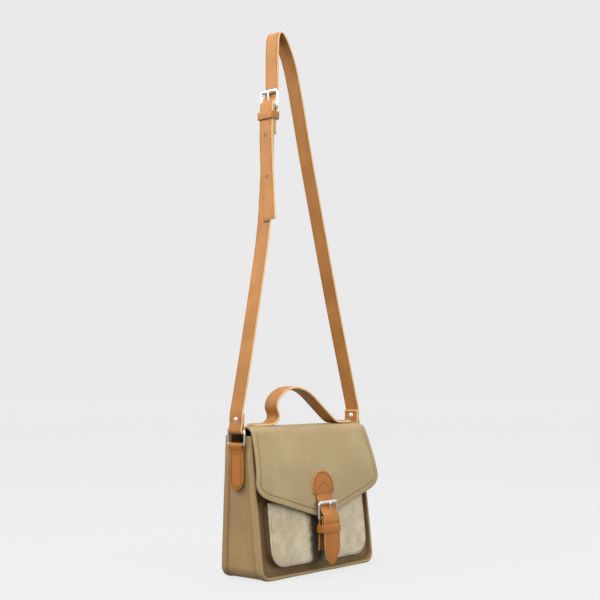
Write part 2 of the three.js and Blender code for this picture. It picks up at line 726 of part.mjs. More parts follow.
function addSide(name, side) {
  const tabEndHalf = tabHalf - tabEndInset;
  const mirrored = (points) => points.map((point) => at(point.x * side, point.y));
  const endZ = tabTopZ - tabLength;
  const half = (z) => {
    if (z > tabTopZ - 9) return tabHalf;
    return roundedHalf(tabEndHalf, Math.max(endZ + tabEndHalf - z, 0), 3);
  };
  const middle = strapY + 1;
  const near = (z) => middle - half(z);
  const far = (z) => middle + half(z);
  const tab = stripAcross(mirrored(tabPath()), tabThickness, near, far);
  addPart(bag, `side_tab_${name}`, tab, 'tan');

  const ring = wireFrame(ringInnerHeight, ringInnerWidth, wire, wire, wire);
  ring.rotateY(Math.PI / 2);
  ring.translate(side * ringX, strapY + 1, (tabTopZ + ringTopZ) / 2);
  addPart(bag, `ring_${name}`, ring, 'metal');

  const rivetZ = ringTopZ + rivetRise;
  const outerFace = Math.abs(strapEndX) + strapThickness / 2 + gap;
  const innerFace = Math.abs(strapEndX) - strapThickness * 1.5 - 2 * gap;
  const cap = 1.3;
  const rivet = turned([
    [0, innerFace - cap], [rivetCap - 1, innerFace - cap], [rivetCap, innerFace - cap / 2], [rivetCap, innerFace],
    [rivetRadius, innerFace], [rivetRadius, outerFace], [rivetCap, outerFace], [rivetCap, outerFace + cap / 2],
    [rivetCap - 1, outerFace + cap], [0, outerFace + cap],
  ]);
  rivet.rotateZ(-side * Math.PI / 2);
  rivet.translate(0, strapY, rivetZ);
  addPart(bag, `rivet_${name}`, rivet, 'metal');
}

// ---------- shoulder strap ----------
const strapLoopInner = wire / 2 + runningGap;
const strapLoopMiddle = strapLoopInner + strapThickness / 2;
const strapEndX = ringX + 1.5;   // the outer layer where the rivet clamps it

// The doubled end round a ring's upper bar, for the right side, from its cut end to the rivet.
function strapEnd() {
  const innerX = strapEndX - strapThickness - gap;
  const rivetZ = ringTopZ + rivetRise;
  return [
    at(innerX - 0.8, ringTopZ + foldBack), at(innerX, rivetZ + rivetCap + 0.5), at(innerX, rivetZ - 4.5),
    at(innerX - 0.2, ringTopZ + 7),
    ...arcPoints(ringX, ringTopZ, strapLoopMiddle, 160, 380, 10),
    at(strapEndX + 0.4, ringTopZ + 9), at(strapEndX, rivetZ - 4.5), at(strapEndX, rivetZ + rivetCap + 0.5),
  ];
}
const strapLeave = at(strapEndX - 1, ringTopZ + foldBack + 3);

const heelZ = buckleTop - buckleHeight;
const shortOuterX = buckleX - wire / 2 - runningGap - strapThickness / 2;
const shortInnerX = buckleX + wire / 2 + runningGap + strapThickness / 2;

function shortStrapRun() {
  return smoothPath([
    at(-strapLeave.x, strapLeave.y), at(-124, 258), at(-104, 350), at(-78, 480),
    at(-70, 560), at(shortOuterX - 0.4, heelZ - 36), at(shortOuterX, heelZ - 3),
  ], 30);
}

function shortStrapPath() {
  const end = strapEnd().map((point) => at(-point.x, point.y));
  const around = arcPoints(buckleX, heelZ, shortInnerX - buckleX, 180, 0, 8);
  return [...end, ...shortStrapRun(), ...around,
    at(shortInnerX - 0.3, heelZ - 2.5), at(shortInnerX - 2.6, heelZ - 7), at(shortInnerX - 3.2, heelZ - 14),
    at(shortInnerX - 3.4, heelZ - 40)];
}

function longStrapPath() {
  const over = smoothPath([
    strapLeave, at(122, 260), at(80, 397), at(40, 537), at(17, 619),
    at(-4, 700), at(-19, 748), at(strapApexX + 14, strapApex - 13), at(strapApexX, strapApex),
    at(strapApexX - 8, strapApex - 10), at(strapApexX - 9.6, buckleTop + 45),
    at(buckleX + rollerRadius + runningGap + strapThickness / 2, buckleTop + 12),
  ], 56);
  const cross = smoothPath([
    at(buckleX + rollerRadius + runningGap + strapThickness / 2, buckleTop),
    at(buckleX + 1.5, buckleTop - 10),
    at(shortOuterX - strapThickness - gap, heelZ + 4),
  ], 6);
  const beside = besidePath(shortStrapRun().reverse(), -(strapThickness + gap));
  const free = endedAt(beside.filter((point) => point.y < heelZ - 4), freeEndTip);
  return [...strapEnd(), ...over, ...cross, ...free];
}

function addShoulderStrap() {
  const near = () => strapY - strapWidth / 2;
  const far = () => strapY + strapWidth / 2;
  const rivetZ = ringTopZ + rivetRise;
  const bore = (z, x, radius) => rod(
    new THREE.Vector3(x - 14, strapY, z), new THREE.Vector3(x + 14, strapY, z), radius, 10);
  const rivetBore = rivetRadius + 0.35;

  const eyeSlot = new THREE.BoxGeometry(20, eyeSlotWidth, eyeSlotLength);
  eyeSlot.translate(buckleX, strapY, heelZ + 3);
  const short = stripAcross(shortStrapPath(), strapThickness, near, far);
  addPart(bag, 'short_strap', cut(short, bore(rivetZ, -strapEndX, rivetBore), eyeSlot), 'tan');

  const prongSlot = new THREE.BoxGeometry(24, prongSlotWidth, prongSlotLength);
  prongSlot.translate(buckleX, strapY, heelZ + buckleHeight * 0.54);
  const holes = [1, 2].map((step) => bore(buckleTop - 5 - holePitch * step, buckleX - 9, holeRadius));
  const long = stripAcross(longStrapPath(), strapThickness, near, far);
  addPart(bag, 'long_strap', cut(long, bore(rivetZ, strapEndX, rivetBore), prongSlot, ...holes), 'tan');

  const place = (geometry) => {
    geometry.rotateZ(Math.PI / 2);
    geometry.translate(buckleX, strapY, heelZ);
    return geometry;
  };
  addBuckle('strap', strapWidth + buckleSpare, buckleHeight, place);
  const outside = shortOuterX - 1.5 * strapThickness - 2 * gap - keeperPlay;
  addKeeper('strap_keeper', strapWidth / 2 + keeperPlay, outside, shortInnerX + 2 * gap,
    heelZ - keeperBelowHeel, true);
}

addBody();
addPocket();
addFlap();
addHandle();
addClosure();
addSide('left', -1);
addSide('right', 1);
addShoulderStrap();

export default bag;
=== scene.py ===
# Satchel bag in khaki leather with orange-tan straps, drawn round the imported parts.
# Every piece is a surface of two parameters: a section carried along a line, or a sheet over an outline.
import math
import bpy
import numpy as np
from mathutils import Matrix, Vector


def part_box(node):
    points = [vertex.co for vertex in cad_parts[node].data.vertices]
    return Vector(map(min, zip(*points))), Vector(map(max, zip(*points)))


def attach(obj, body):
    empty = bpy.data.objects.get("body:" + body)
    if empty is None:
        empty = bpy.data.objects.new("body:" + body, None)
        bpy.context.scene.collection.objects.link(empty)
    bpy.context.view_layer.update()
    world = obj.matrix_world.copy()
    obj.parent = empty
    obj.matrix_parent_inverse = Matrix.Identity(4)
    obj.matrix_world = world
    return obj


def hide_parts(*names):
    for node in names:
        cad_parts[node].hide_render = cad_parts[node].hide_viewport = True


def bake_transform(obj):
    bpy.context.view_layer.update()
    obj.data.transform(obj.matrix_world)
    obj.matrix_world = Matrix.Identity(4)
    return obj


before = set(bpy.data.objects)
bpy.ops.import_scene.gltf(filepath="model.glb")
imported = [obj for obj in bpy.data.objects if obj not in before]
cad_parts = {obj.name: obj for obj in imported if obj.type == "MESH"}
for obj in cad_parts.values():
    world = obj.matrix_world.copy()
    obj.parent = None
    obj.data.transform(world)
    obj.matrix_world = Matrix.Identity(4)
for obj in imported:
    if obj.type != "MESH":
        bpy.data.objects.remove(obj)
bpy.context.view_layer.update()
scene = bpy.context.scene
scene.view_settings.view_transform = "Standard"

# Camera
cameraPlace = {"spot": (-1.2562, -1.0986, 0.2765), "azimuth": 48.809, "raised": 3.211, "lens": 67.18, "shiftUp": 0.03}
cameraData = bpy.data.cameras.new("studioCamera")
cameraData.lens = cameraPlace["lens"]
cameraData.shift_y = cameraPlace["shiftUp"]
camera = bpy.data.objects.new("studioCamera", cameraData)
camera.location = cameraPlace["spot"]
camera.rotation_euler = (math.radians(90 + cameraPlace["raised"]), 0, -math.radians(cameraPlace["azimuth"]))
scene.collection.objects.link(camera)
scene.camera = camera


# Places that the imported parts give
def boxOf(part):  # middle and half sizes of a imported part's box
    corners = np.array([list(corner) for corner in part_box(part)])
    return corners.mean(0), (corners[1] - corners[0]) / 2


# Lines
def unit(vectors):  # each vector over its own length
    return vectors / np.maximum(np.linalg.norm(vectors, axis=-1, keepdims=True), 1e-12)


def runOf(line):  # length along a line at each of its points
    return np.concatenate([[0], np.cumsum(np.linalg.norm(np.diff(line, axis=0), axis=1))])


def sampled(at, run, values):  # a line's values at new lengths along it
    return np.stack([np.interp(at, run, column) for column in np.asarray(values, float).T], -1)


def evenly(line, spacing):  # the same line with its points a fixed length apart
    run = runOf(line)
    return sampled(np.linspace(0, run[-1], max(int(round(run[-1] / spacing)), 2) + 1), run, line)


def smoothLine(points, spacing):  # the cubic through four neighbours at a time, evenly spaced
    points = np.asarray(points, float)
    p = np.vstack([points[:1], points, points[-1:]])
    a, b, c, d = (p[k:len(p) - 3 + k, None] for k in range(4))
    t = np.linspace(0, 1, 30, endpoint=False)[None, :, None]
    curve = b + t * (c - a) / 2 + t**2 * (a - 2.5 * b + 2 * c - d / 2) + t**3 * (3 * (b - c) + d - a) / 2
    return evenly(np.vstack([curve.reshape(-1, points.shape[1]), points[-1:]]), spacing)


def arc(centre, radius, start, end, count):  # points round a centre, angles in degrees
    angle = np.radians(np.linspace(start, end, count))
    return np.stack([centre[0] + radius * np.cos(angle), centre[1] + radius * np.sin(angle)], -1)


def roundBox(halfA, halfB, corner, count=7):  # four corner arcs joined into one closed line
    spots = [(1, 1, 0), (-1, 1, 90), (-1, -1, 180), (1, -1, 270)]
    return np.vstack([arc((a * (halfA - corner), b * (halfB - corner)), corner, turn, turn + 90, count)
                      for a, b, turn in spots])


def looped(loop, spacing):  # a loop of points closed on itself, evenly spaced
    return evenly(np.vstack([loop, loop[:1]]), spacing)


def inPlaneX(line, x=0.0):  # a line drawn in Y and Z, placed at x
    return np.column_stack([np.full(len(line), x), line[:, 0], line[:, 1]])


def inPlaneY(line, y=0.0):  # a line drawn in X and Z, placed at y, which may change along it
    return np.column_stack([line[:, 0], np.broadcast_to(y, len(line)), line[:, 1]])


# Meshes
def makePiece(name, points, faces, values=None, sharp=50):
    points = np.asarray(points, float).reshape(-1, 3)
    quads = np.array([f for f in faces if len(f) == 4])
    a, b, c, d = (points[quads[:, k]] for k in range(4))
    around = np.einsum("ij,ij->i", a, np.cross(b, c)) + np.einsum("ij,ij->i", a, np.cross(c, d))
    if around.sum() < 0:  # turned so that the faces look outwards
        faces = [f[::-1] for f in faces]
    mesh = bpy.data.meshes.new(name)
    mesh.from_pydata(points.tolist(), [], faces)
    for key, value in (values or {}).items():
        mesh.attributes.new(key, "FLOAT", "POINT").data.foreach_set("value", np.ravel(value).astype(np.float32))
    mesh.polygons.foreach_set("use_smooth", np.ones(len(mesh.polygons), bool))
    mesh.set_sharp_from_angle(angle=math.radians(sharp))
    piece = bpy.data.objects.new(name, mesh)
    scene.collection.objects.link(piece)
    return piece


def gridFaces(index, along=False, around=False):  # four-cornered faces over a grid of point numbers
    rows = np.vstack([index, index[:1]]) if along else index
    rows = np.hstack([rows, rows[:, :1]]) if around else rows
    return np.stack([rows[:-1, :-1], rows[1:, :-1], rows[1:, 1:], rows[:-1, 1:]], -1).reshape(-1, 4).tolist()


def carried(name, points, closedLine=False, values=None, sharp=50):
    # points[i, j] is section point j at line point i; the section closes on itself, open lines are capped
    index = np.arange(points.shape[0] * points.shape[1]).reshape(points.shape[:2])
    faces = gridFaces(index, along=closedLine, around=True)
    if not closedLine:
        faces += [index[0].tolist(), index[-1][::-1].tolist()]
    return makePiece(name, points, faces, values, sharp)


def slab(name, outer, inner, values, bulge=0.0004):
    # two sheets over the same grid, joined all round by one more ring that stands out a little
    n, m = outer.shape[:2]
    top = np.arange(n * m).reshape(n, m)
    row = np.concatenate([np.zeros(m), np.arange(1, n), np.full(m - 1, n - 1), np.arange(n - 2, 0, -1)]).astype(int)
    col = np.concatenate([np.arange(m), np.full(n - 1, m - 1), np.arange(m - 2, -1, -1), np.zeros(n - 2)]).astype(int)
    border, middleOf = outer[row, col], (outer[row, col] + inner[row, col]) / 2
    outwards = unit(border - outer[np.clip(row, 1, n - 2), np.clip(col, 1, m - 2)])
    ring = 2 * n * m + np.arange(len(row))
    loop = np.stack([top[row, col], ring, top[row, col] + n * m])
    faces = gridFaces(top) + [f[::-1] for f in gridFaces(top + n * m)] + [
        f[::-1] for f in gridFaces(loop, around=True)]
    points = np.vstack([outer.reshape(-1, 3), inner.reshape(-1, 3), middleOf + outwards * bulge])
    edgeRing = {"edge": 0.0, "cut": 1.0}
    full = {key: np.concatenate([value.ravel(), value.ravel(),
                                 np.full(len(row), edgeRing[key]) if key in edgeRing else value[row, col]])
            for key, value in values.items()}
    return makePiece(name, points, faces, full)


def strip(name, line, across, half, thick, crown=0.0, faceCount=9, openEnds=(False, False)):
    # a flat strap: a rounded oblong section carried along a line, its ends drawn in over half its thickness
    run = runOf(line)
    total = run[-1]
    r = thick * 0.45
    near = np.array([0, 0.25, 1.0]) * r
    inside = run[(run > 1.4 * r) & (run < total - 1.4 * r)]
    at = np.concatenate([near, inside, total - near[::-1]])
    centre = sampled(at, run, line)
    w = np.interp(at, run, np.broadcast_to(half, run.shape))[:, None]
    tangent = unit(np.gradient(centre, at, axis=0))
    side = np.broadcast_to(np.asarray(across, float), centre.shape)
    side = unit(side - tangent * np.sum(side * tangent, 1, keepdims=True))
    normal = np.cross(tangent, side)
    fromEnd = np.minimum(np.where(openEnds[0], 1.0, at), np.where(openEnds[1], 1.0, total - at))[:, None]
    swell = 0.35 + 0.65 * np.sqrt(np.clip(1 - np.clip(1 - fromEnd / r, 0, 1) ** 2, 0, 1))
    c = np.linspace(-1, 1, faceCount)
    turn = np.radians([55, 20, -20, -55])
    share = np.concatenate([c, np.ones(4), c[::-1], -np.ones(4)])[None]
    outX = np.concatenate([0 * c, np.cos(turn), 0 * c, -np.cos(turn)])[None]
    upY = np.concatenate([0 * c + 1, np.sin(turn), 0 * c - 1, np.sin(turn[::-1])])[None]
    dome = np.concatenate([1 - c**2, np.zeros(faceCount + 8)])[None]
    a = share * (w - r) + outX * r * swell
    b = upY * thick / 2 * swell + dome * crown * np.minimum(w / w.max(), 1)
    points = centre[:, None] + side[:, None] * a[..., None] + normal[:, None] * b[..., None]
    edge = np.minimum(np.clip(w - np.abs(a), 0, None), fromEnd)
    cut = np.maximum(np.abs(outX) + 0 * a, (fromEnd < 0.6 * r) * 1.0)
    values = {"edge": edge, "cut": np.clip(cut * 1.4, 0, 1)}
    return carried(name, points, values=values)


def tube(name, line, plane, radius, closed=False, sides=14):
    # a round wire along a line that lies in one plane
    line = np.asarray(line, float)
    before, after = (np.roll(line, 1, 0), np.roll(line, -1, 0)) if closed else (
        np.vstack([line[:1], line[:-1]]), np.vstack([line[1:], line[-1:]]))
    out = np.cross(unit(after - before), np.asarray(plane, float))
    angle = np.linspace(0, 2 * np.pi, sides, endpoint=False)[None, :, None]
    size = np.broadcast_to(radius, len(line))[:, None, None]
    points = line[:, None] + size * (np.cos(angle) * out[:, None] + np.sin(angle) * np.asarray(plane, float))
    return carried(name, points, closedLine=closed, sharp=70)


def turned(name, profile, centre, axis, closed=False, sides=28):
    # radius and height pairs turned about an axis through a centre
    profile = np.asarray(profile, float)
    axis = np.asarray(axis, float)
    first = unit(np.cross(axis, (0.3, 0.5, 0.8)))
    angle = np.linspace(0, 2 * np.pi, sides, endpoint=False)[None, :, None]
    spoke = np.cos(angle) * first + np.sin(angle) * np.cross(axis, first)
    points = np.asarray(centre) + profile[:, 0, None, None] * spoke + profile[:, 1, None, None] * axis
    return carried(name, points, closedLine=closed, sharp=45)


def stitches(name, line, normal, pitch=0.0036, length=0.0027, width=0.0008, lift=0.0002, slant=10):
    # small spindles end to end along a line, each turned a little across it
    run = runOf(line)
    at = np.arange(pitch / 2, run[-1], pitch)
    centre = sampled(at, run, line)
    up = unit(sampled(at, run, np.broadcast_to(normal, line.shape)))
    ahead = unit(sampled(np.minimum(at + 0.0005, run[-1]), run, line) - sampled(at - 0.0005, run, line))
    beside = np.cross(up, ahead)
    turn = math.radians(slant)
    ahead, beside = ahead * math.cos(turn) + beside * math.sin(turn), beside * math.cos(turn) - ahead * math.sin(turn)
    station = np.linspace(-1, 1, 5)
    girth = np.sqrt(1 - station**2 * 0.92)
    angle = np.linspace(0, 2 * np.pi, 6, endpoint=False)
    local = np.stack(np.broadcast_arrays(station[:, None] * length / 2, girth[:, None] * np.cos(angle) * width / 2,
                                         girth[:, None] * np.sin(angle) * width / 2 + lift), -1).reshape(-1, 3)
    axes = np.stack([ahead, beside, up], 1)
    points = centre[:, None] + local @ axes
    one = np.arange(30).reshape(5, 6)
    first = 30 * np.arange(len(at))[:, None]
    walls = (np.array(gridFaces(one, around=True))[None] + first[..., None]).reshape(-1, 4).tolist()
    return makePiece(name, points, walls + (one[0] + first).tolist() + (one[-1][::-1] + first).tolist())


# Materials
def newMaterial(name, **shader):
    material = bpy.data.materials.new(name)
    material.use_nodes = True
    for key, value in shader.items():
        material.node_tree.nodes["Principled BSDF"].inputs[key].default_value = value
    return material


def node(tree, kind, settings=None, **inputs):  # a node with its settings and its inputs, which may be links
    made = tree.nodes.new("ShaderNode" + kind)
    for key, value in (settings or {}).items():
        setattr(made, key, value)
    for key, value in inputs.items():
        socket = made.inputs[int(key[1:])] if key[0] == "i" and key[1:].isdigit() else made.inputs[key]
        if isinstance(value, bpy.types.NodeSocket):
            tree.links.new(value, socket)
        else:
            socket.default_value = value
    return made


def maths(tree, operation, *values):
    return node(tree, "Math", {"operation": operation}, **{f"i{k}": v for k, v in enumerate(values)}).outputs[0]


def blended(tree, share, first, second):  # first turns into second as the share goes from 0 to 1
    return node(tree, "Mix", {"data_type": "RGBA"}, i0=share, i6=first, i7=second).outputs[2]


def stepped(tree, value, start, end, low=0.0, high=1.0):  # a smooth step between two values
    return node(tree, "MapRange", {"interpolation_type": "SMOOTHSTEP"}, i0=value, i1=start, i2=end, i3=low,
                i4=high).outputs[0]


def attribute(tree, name):
    return node(tree, "Attribute", {"attribute_name": name}).outputs["Fac"]


def place(tree):
    return node(tree, "TexCoord").outputs["Object"]


def newGroup(name, inputs, outputs):
    tree = bpy.data.node_groups.new(name, "ShaderNodeTree")
    for key, kind, value in inputs:
        socket = tree.interface.new_socket(key, in_out="INPUT", socket_type="NodeSocket" + kind)
        socket.default_value = value
    for key, kind in outputs:
        tree.interface.new_socket(key, in_out="OUTPUT", socket_type="NodeSocket" + kind)
    return tree, tree.nodes.new("NodeGroupInput").outputs, tree.nodes.new("NodeGroupOutput").inputs


def grainGroup():  # small domed cells, finer creases between them and broad cloudy tone
    tree, given, out = newGroup("leatherGrain", [("Cells", "Float", 900.0), ("Depth", "Float", 1.0)],
                                [("Height", "Float"), ("Cloud", "Float"), ("Fine", "Float")])
    spot = place(tree)
    bent = node(tree, "TexNoise", None, Vector=spot, Scale=160.0, Detail=2.0).outputs["Color"]
    warped = node(tree, "Mix", {"data_type": "VECTOR"}, i0=0.004, i4=spot, i5=bent).outputs[1]
    cells = node(tree, "TexVoronoi", {"feature": "F1"}, Vector=warped, Scale=given["Cells"])
    creases = node(tree, "TexVoronoi", {"feature": "DISTANCE_TO_EDGE"}, Vector=warped, Scale=given["Cells"])
    crease = stepped(tree, creases.outputs["Distance"], 0.0, 0.16)
    fine = node(tree, "TexNoise", None, Vector=spot, Scale=2600.0, Detail=3.0).outputs[0]
    domes = maths(tree, "SUBTRACT", crease, maths(tree, "MULTIPLY", cells.outputs["Distance"], 0.5))
    height = maths(tree, "ADD", domes, maths(tree, "MULTIPLY", fine, 0.35))
    tree.links.new(maths(tree, "MULTIPLY", height, given["Depth"]), out["Height"])
    tree.links.new(node(tree, "TexNoise", None, Vector=spot, Scale=22.0, Detail=4.0, Roughness=0.6).outputs[0],
                   out["Cloud"])
    tree.links.new(crease, out["Fine"])
    return tree


def seamGroup():  # a groove at a set distance inside an edge, and the darker burnish right at the edge
    tree, given, out = newGroup("edgeSeam", [("At", "Float", 0.004), ("Width", "Float", 0.0006),
                                             ("Burnish", "Float", 0.0015)],
                                [("Groove", "Float"), ("Rim", "Float"), ("Cut", "Float")])
    edge = attribute(tree, "edge")
    away = maths(tree, "ABSOLUTE", maths(tree, "SUBTRACT", edge, given["At"]))
    tree.links.new(stepped(tree, away, 0.0, given["Width"], 1.0, 0.0), out["Groove"])
    tree.links.new(stepped(tree, edge, 0.0, given["Burnish"], 1.0, 0.0), out["Rim"])
    tree.links.new(stepped(tree, attribute(tree, "cut"), 0.3, 0.75), out["Cut"])
    return tree


def group(tree, which, **inputs):
    made = tree.nodes.new("ShaderNodeGroup")
    made.node_tree = which
    for key, value in inputs.items():
        made.inputs[key].default_value = value
    return made.outputs


def leather(name, codes, cells=900.0, grain=1.0, seamAt=0.004, seamDark=0.5, rough=0.5, rim=0.25, bump=0.00012):
    # codes: the tone, its deep and pale shades and, for some, the cut edge. Cloudy tone from deep to pale, grain
    # creases a little darker, a seam groove and a painted or raw cut edge
    tone, deep, pale, *cutTone = [paint(code) for code in codes.split()]
    material = newMaterial(name, **{"Coat Roughness": 0.35, "Specular IOR Level": 0.4})
    tree = material.node_tree
    shader = tree.nodes["Principled BSDF"]
    skin = group(tree, leatherGrain, Cells=cells, Depth=grain)
    seam = group(tree, edgeSeam, At=seamAt)
    colour = blended(tree, stepped(tree, skin["Cloud"], 0.32, 0.68), (*deep, 1), (*tone, 1))
    high = stepped(tree, skin["Cloud"], 0.52, 0.8, 0.0, 0.7)
    colour = blended(tree, high, colour, (*pale, 1))
    dark = (*(0.62 * np.array(deep)), 1)
    colour = blended(tree, maths(tree, "MULTIPLY", maths(tree, "SUBTRACT", 1.0, skin["Fine"]), 0.28), colour, dark)
    colour = blended(tree, maths(tree, "MULTIPLY", seam["Groove"], seamDark), colour, dark)
    colour = blended(tree, maths(tree, "MULTIPLY", seam["Rim"], rim), colour, dark)
    if cutTone:
        colour = blended(tree, seam["Cut"], colour, (*cutTone[0], 1))
    tree.links.new(colour, shader.inputs["Base Color"])
    rougher = maths(tree, "ADD", rough, maths(tree, "MULTIPLY", maths(tree, "SUBTRACT", skin["Cloud"], 0.5), 0.25))
    tree.links.new(rougher, shader.inputs["Roughness"])
    height = maths(tree, "SUBTRACT", skin["Height"], maths(tree, "MULTIPLY", seam["Groove"], 3.5))
    relief = node(tree, "Bump", None, Strength=1.0, Distance=bump, Height=height)
    tree.links.new(relief.outputs[0], shader.inputs["Normal"])
    return material


def paint(code):  # a written colour as the linear numbers that a shader takes
    value = np.array([int(code[k:k + 2], 16) for k in (0, 2, 4)]) / 255
    return tuple(np.where(value <= 0.04045, value / 12.92, ((value + 0.055) / 1.055) ** 2.4))


leatherGrain = grainGroup()
edgeSeam = seamGroup()
flapLeather = leather("flapLeather", "AD986F A58F66 B39E75 6E5534", cells=1100.0, grain=0.8, seamAt=0.0078,
                      seamDark=0.45)
sideLeather = leather("sideLeather", "A28459 9B7D52 A88B60 7A5C38",
                      cells=1000.0, grain=0.7, seamAt=0.0022, seamDark=0.35, rough=0.46)
rimLeather = leather("rimLeather", "AC9164 A4895C B59B6E 8A6B43",
                     cells=1100.0, grain=0.8, seamAt=0.0030, seamDark=0.30)
# the front panel's and pocket band's dark brown is partly the leather's own tone and partly painted shade of the recess
# round the pocket
panelLeatherAndRecessShade = leather("panelLeatherAndRecessShade", "7A5E3D 6E5334 826643 4B361F",
                       cells=1000.0, grain=0.8, seamAt=0.0040, seamDark=0.5)
strapLeather = leather("strapLeather", "B17738 A46A2C BC8345 DAB683",
                       cells=1300.0, grain=0.6, seamAt=0.0026, seamDark=0.12, rough=0.42, rim=0.35)
closureLeather = leather("closureLeather", "B57028 A86520 BF7D35 C48E50", cells=1300.0, grain=0.6, seamAt=0.0031,
                         seamDark=0.75, rough=0.42, rim=0.05)
# painted shade: the dark tones of the strap-hole dimples stand for the shade inside a punched hole
paintedHoleShade = leather("paintedHoleShade", "5A3514 3A210C 6B421C", cells=1300.0, seamAt=0.5, seamDark=0.0,
                      rim=0.0, rough=0.6)


def hairHide():  # short hair lying downwards over a blotched hide, with one ragged darker stripe
    material = newMaterial("hairHide", **{"Specular IOR Level": 0.25, "Sheen Weight": 0.25, "Sheen Roughness": 0.4})
    tree = material.node_tree
    shader = tree.nodes["Principled BSDF"]
    spot = place(tree)
    long = node(tree, "Mapping", None, Vector=spot, Scale=(1.0, 1.0, 0.16)).outputs[0]
    hair = node(tree, "TexNoise", None, Vector=long, Scale=1700.0, Detail=4.0, Roughness=0.7).outputs[0]
    tuft = node(tree, "TexNoise", None, Vector=long, Scale=420.0, Detail=3.0).outputs[0]
    cloud = node(tree, "TexNoise", None, Vector=spot, Scale=38.0, Detail=3.0, Roughness=0.55).outputs[0]
    colour = blended(tree, stepped(tree, cloud, 0.36, 0.66), (*paint("B5A789"), 1), (*paint("CBBFA5"), 1))
    colour = blended(tree, stepped(tree, tuft, 0.42, 0.80, 0.0, 0.35), colour, (*paint("D9D0BB"), 1))
    across = node(tree, "SeparateXYZ", None, Vector=spot).outputs[0]
    ragged = node(tree, "TexNoise", None, Vector=spot, Scale=95.0, Detail=5.0, Roughness=0.7).outputs[0]
    middleAway = maths(tree, "ABSOLUTE", maths(tree, "ADD", across, 0.0115))
    away = maths(tree, "ADD", middleAway, maths(tree, "MULTIPLY", maths(tree, "SUBTRACT", ragged, 0.5), 0.022))
    colour = blended(tree, stepped(tree, away, 0.0070, 0.0205, 0.94, 0.0), colour, (*paint("2C1A0C"), 1))
    colour = blended(tree, stepped(tree, hair, 0.35, 0.65, 0.20, 0.0), colour, (*paint("4A3924"), 1))
    tree.links.new(colour, shader.inputs["Base Color"])
    tree.links.new(maths(tree, "ADD", 0.62, maths(tree, "MULTIPLY", hair, 0.2)), shader.inputs["Roughness"])
    relief = node(tree, "Bump", None, Strength=1.0, Distance=0.00022, Height=maths(tree, "ADD", hair, tuft))
    tree.links.new(relief.outputs[0], shader.inputs["Normal"])
    return material


def polished(name, tone, rough):  # bright plated metal with faint wiping marks
    material = newMaterial(name, Metallic=1.0)
    tree = material.node_tree
    shader = tree.nodes["Principled BSDF"]
    spot = place(tree)
    marks = node(tree, "TexNoise", None, Vector=spot, Scale=300.0, Detail=4.0).outputs[0]
    smear = node(tree, "TexNoise", None, Vector=spot, Scale=70.0, Detail=2.0).outputs[0]
    tree.links.new(blended(tree, smear, (*tone, 1), (*(0.86 * np.array(tone)), 1)), shader.inputs["Base Color"])
    tree.links.new(maths(tree, "ADD", rough, maths(tree, "MULTIPLY", marks, 0.12)), shader.inputs["Roughness"])
    relief = node(tree, "Bump", None, Strength=0.25, Distance=0.00003, Height=marks)
    tree.links.new(relief.outputs[0], shader.inputs["Normal"])
    return material


def woven(name, tone, deep, threads):  # plain weave: two crossing sets of threads with slubs
    material = newMaterial(name, **{"Sheen Weight": 0.2})
    tree = material.node_tree
    shader = tree.nodes["Principled BSDF"]
    spot = place(tree)
    waves = [node(tree, "TexWave", {"bands_direction": way}, Vector=spot, Scale=threads, Distortion=0.6).outputs[1]
             for way in ("X", "Z")]
    weave = maths(tree, "MAXIMUM", *waves)
    slub = node(tree, "TexNoise", None, Vector=spot, Scale=60.0, Detail=4.0).outputs[0]
    share = maths(tree, "MULTIPLY", weave, stepped(tree, slub, 0.2, 0.8, 0.6, 1.0))
    tree.links.new(blended(tree, share, (*deep, 1), (*tone, 1)), shader.inputs["Base Color"])
    tree.links.new(maths(tree, "ADD", 0.75, maths(tree, "MULTIPLY", slub, 0.2)), shader.inputs["Roughness"])
    relief = node(tree, "Bump", None, Strength=0.6, Distance=0.0002, Height=weave)
    tree.links.new(relief.outputs[0], shader.inputs["Normal"])
    return material


hide = hairHide()
silver = polished("silver", (0.97, 0.95, 0.91), 0.10)
liningCloth = woven("liningCloth", paint("7A6647"), paint("5E4C33"), 260.0)
boardFibre = woven("boardFibre", paint("5A4A35"), paint("453726"), 120.0)
paleThread = woven("paleThread", paint("CDB98C"), paint("A8905F"), 900.0)
orangeThread = woven("orangeThread", paint("7C4717"), paint("5E330E"), 900.0)
darkThread = woven("darkThread", paint("8A7048"), paint("6A5230"), 900.0)


def finished(piece, material, slot, body, *nodes):  # material, slot (not used), the body it rides, the solids it replaces
    piece.data.materials.append(material)
    if body:
        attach(piece, body)
    if nodes:
        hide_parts(*nodes)
    return piece


def mm(*points):  # millimetres as metres
    return np.array(points, float) / 1000


# Body: a U-shaped shell between a rolled front rim and a rolled back rim
rimMiddle, rimHalf = boxOf("front_rim")
body = {"half": rimHalf[0], "corner": 0.016, "top": rimMiddle[2] + rimHalf[2],
        "lean": (-0.0405, 0.115), "backLean": (0.0405, -0.04),  # y at the foot, and how far it moves with height
        "panel": (0.1204, 0.0115, 0.0045),  # half width, corner radius and foot of the panels
        "rimDepth": 0.0125, "backDepth": 0.0112, "sag": 0.0021}


def frontY(z):  # the front leans back evenly with height, and the back leans forwards
    return body["lean"][0] + body["lean"][1] * z


def backY(z):
    return body["backLean"][0] + body["backLean"][1] * z


def uLine(half, corner, foot, top, spacing=0.0025):  # down one side, along the bottom and up the other side
    return evenly(np.vstack([[(-half, top)], arc((corner - half, foot + corner), corner, 180, 270, 15),
                             arc((half - corner, foot + corner), corner, 270, 360, 15), [(half, top)]]), spacing)


def uBand(name, line, out, y, values):  # a section of (distance outwards, y) pairs at every point of a U line
    ahead = unit(np.gradient(line, axis=0))
    points = np.stack([line[:, None, 0] + ahead[:, None, 1] * out, y + 0 * out,
                       line[:, None, 1] - ahead[:, None, 0] * out], -1)
    return carried(name, points, values=values)


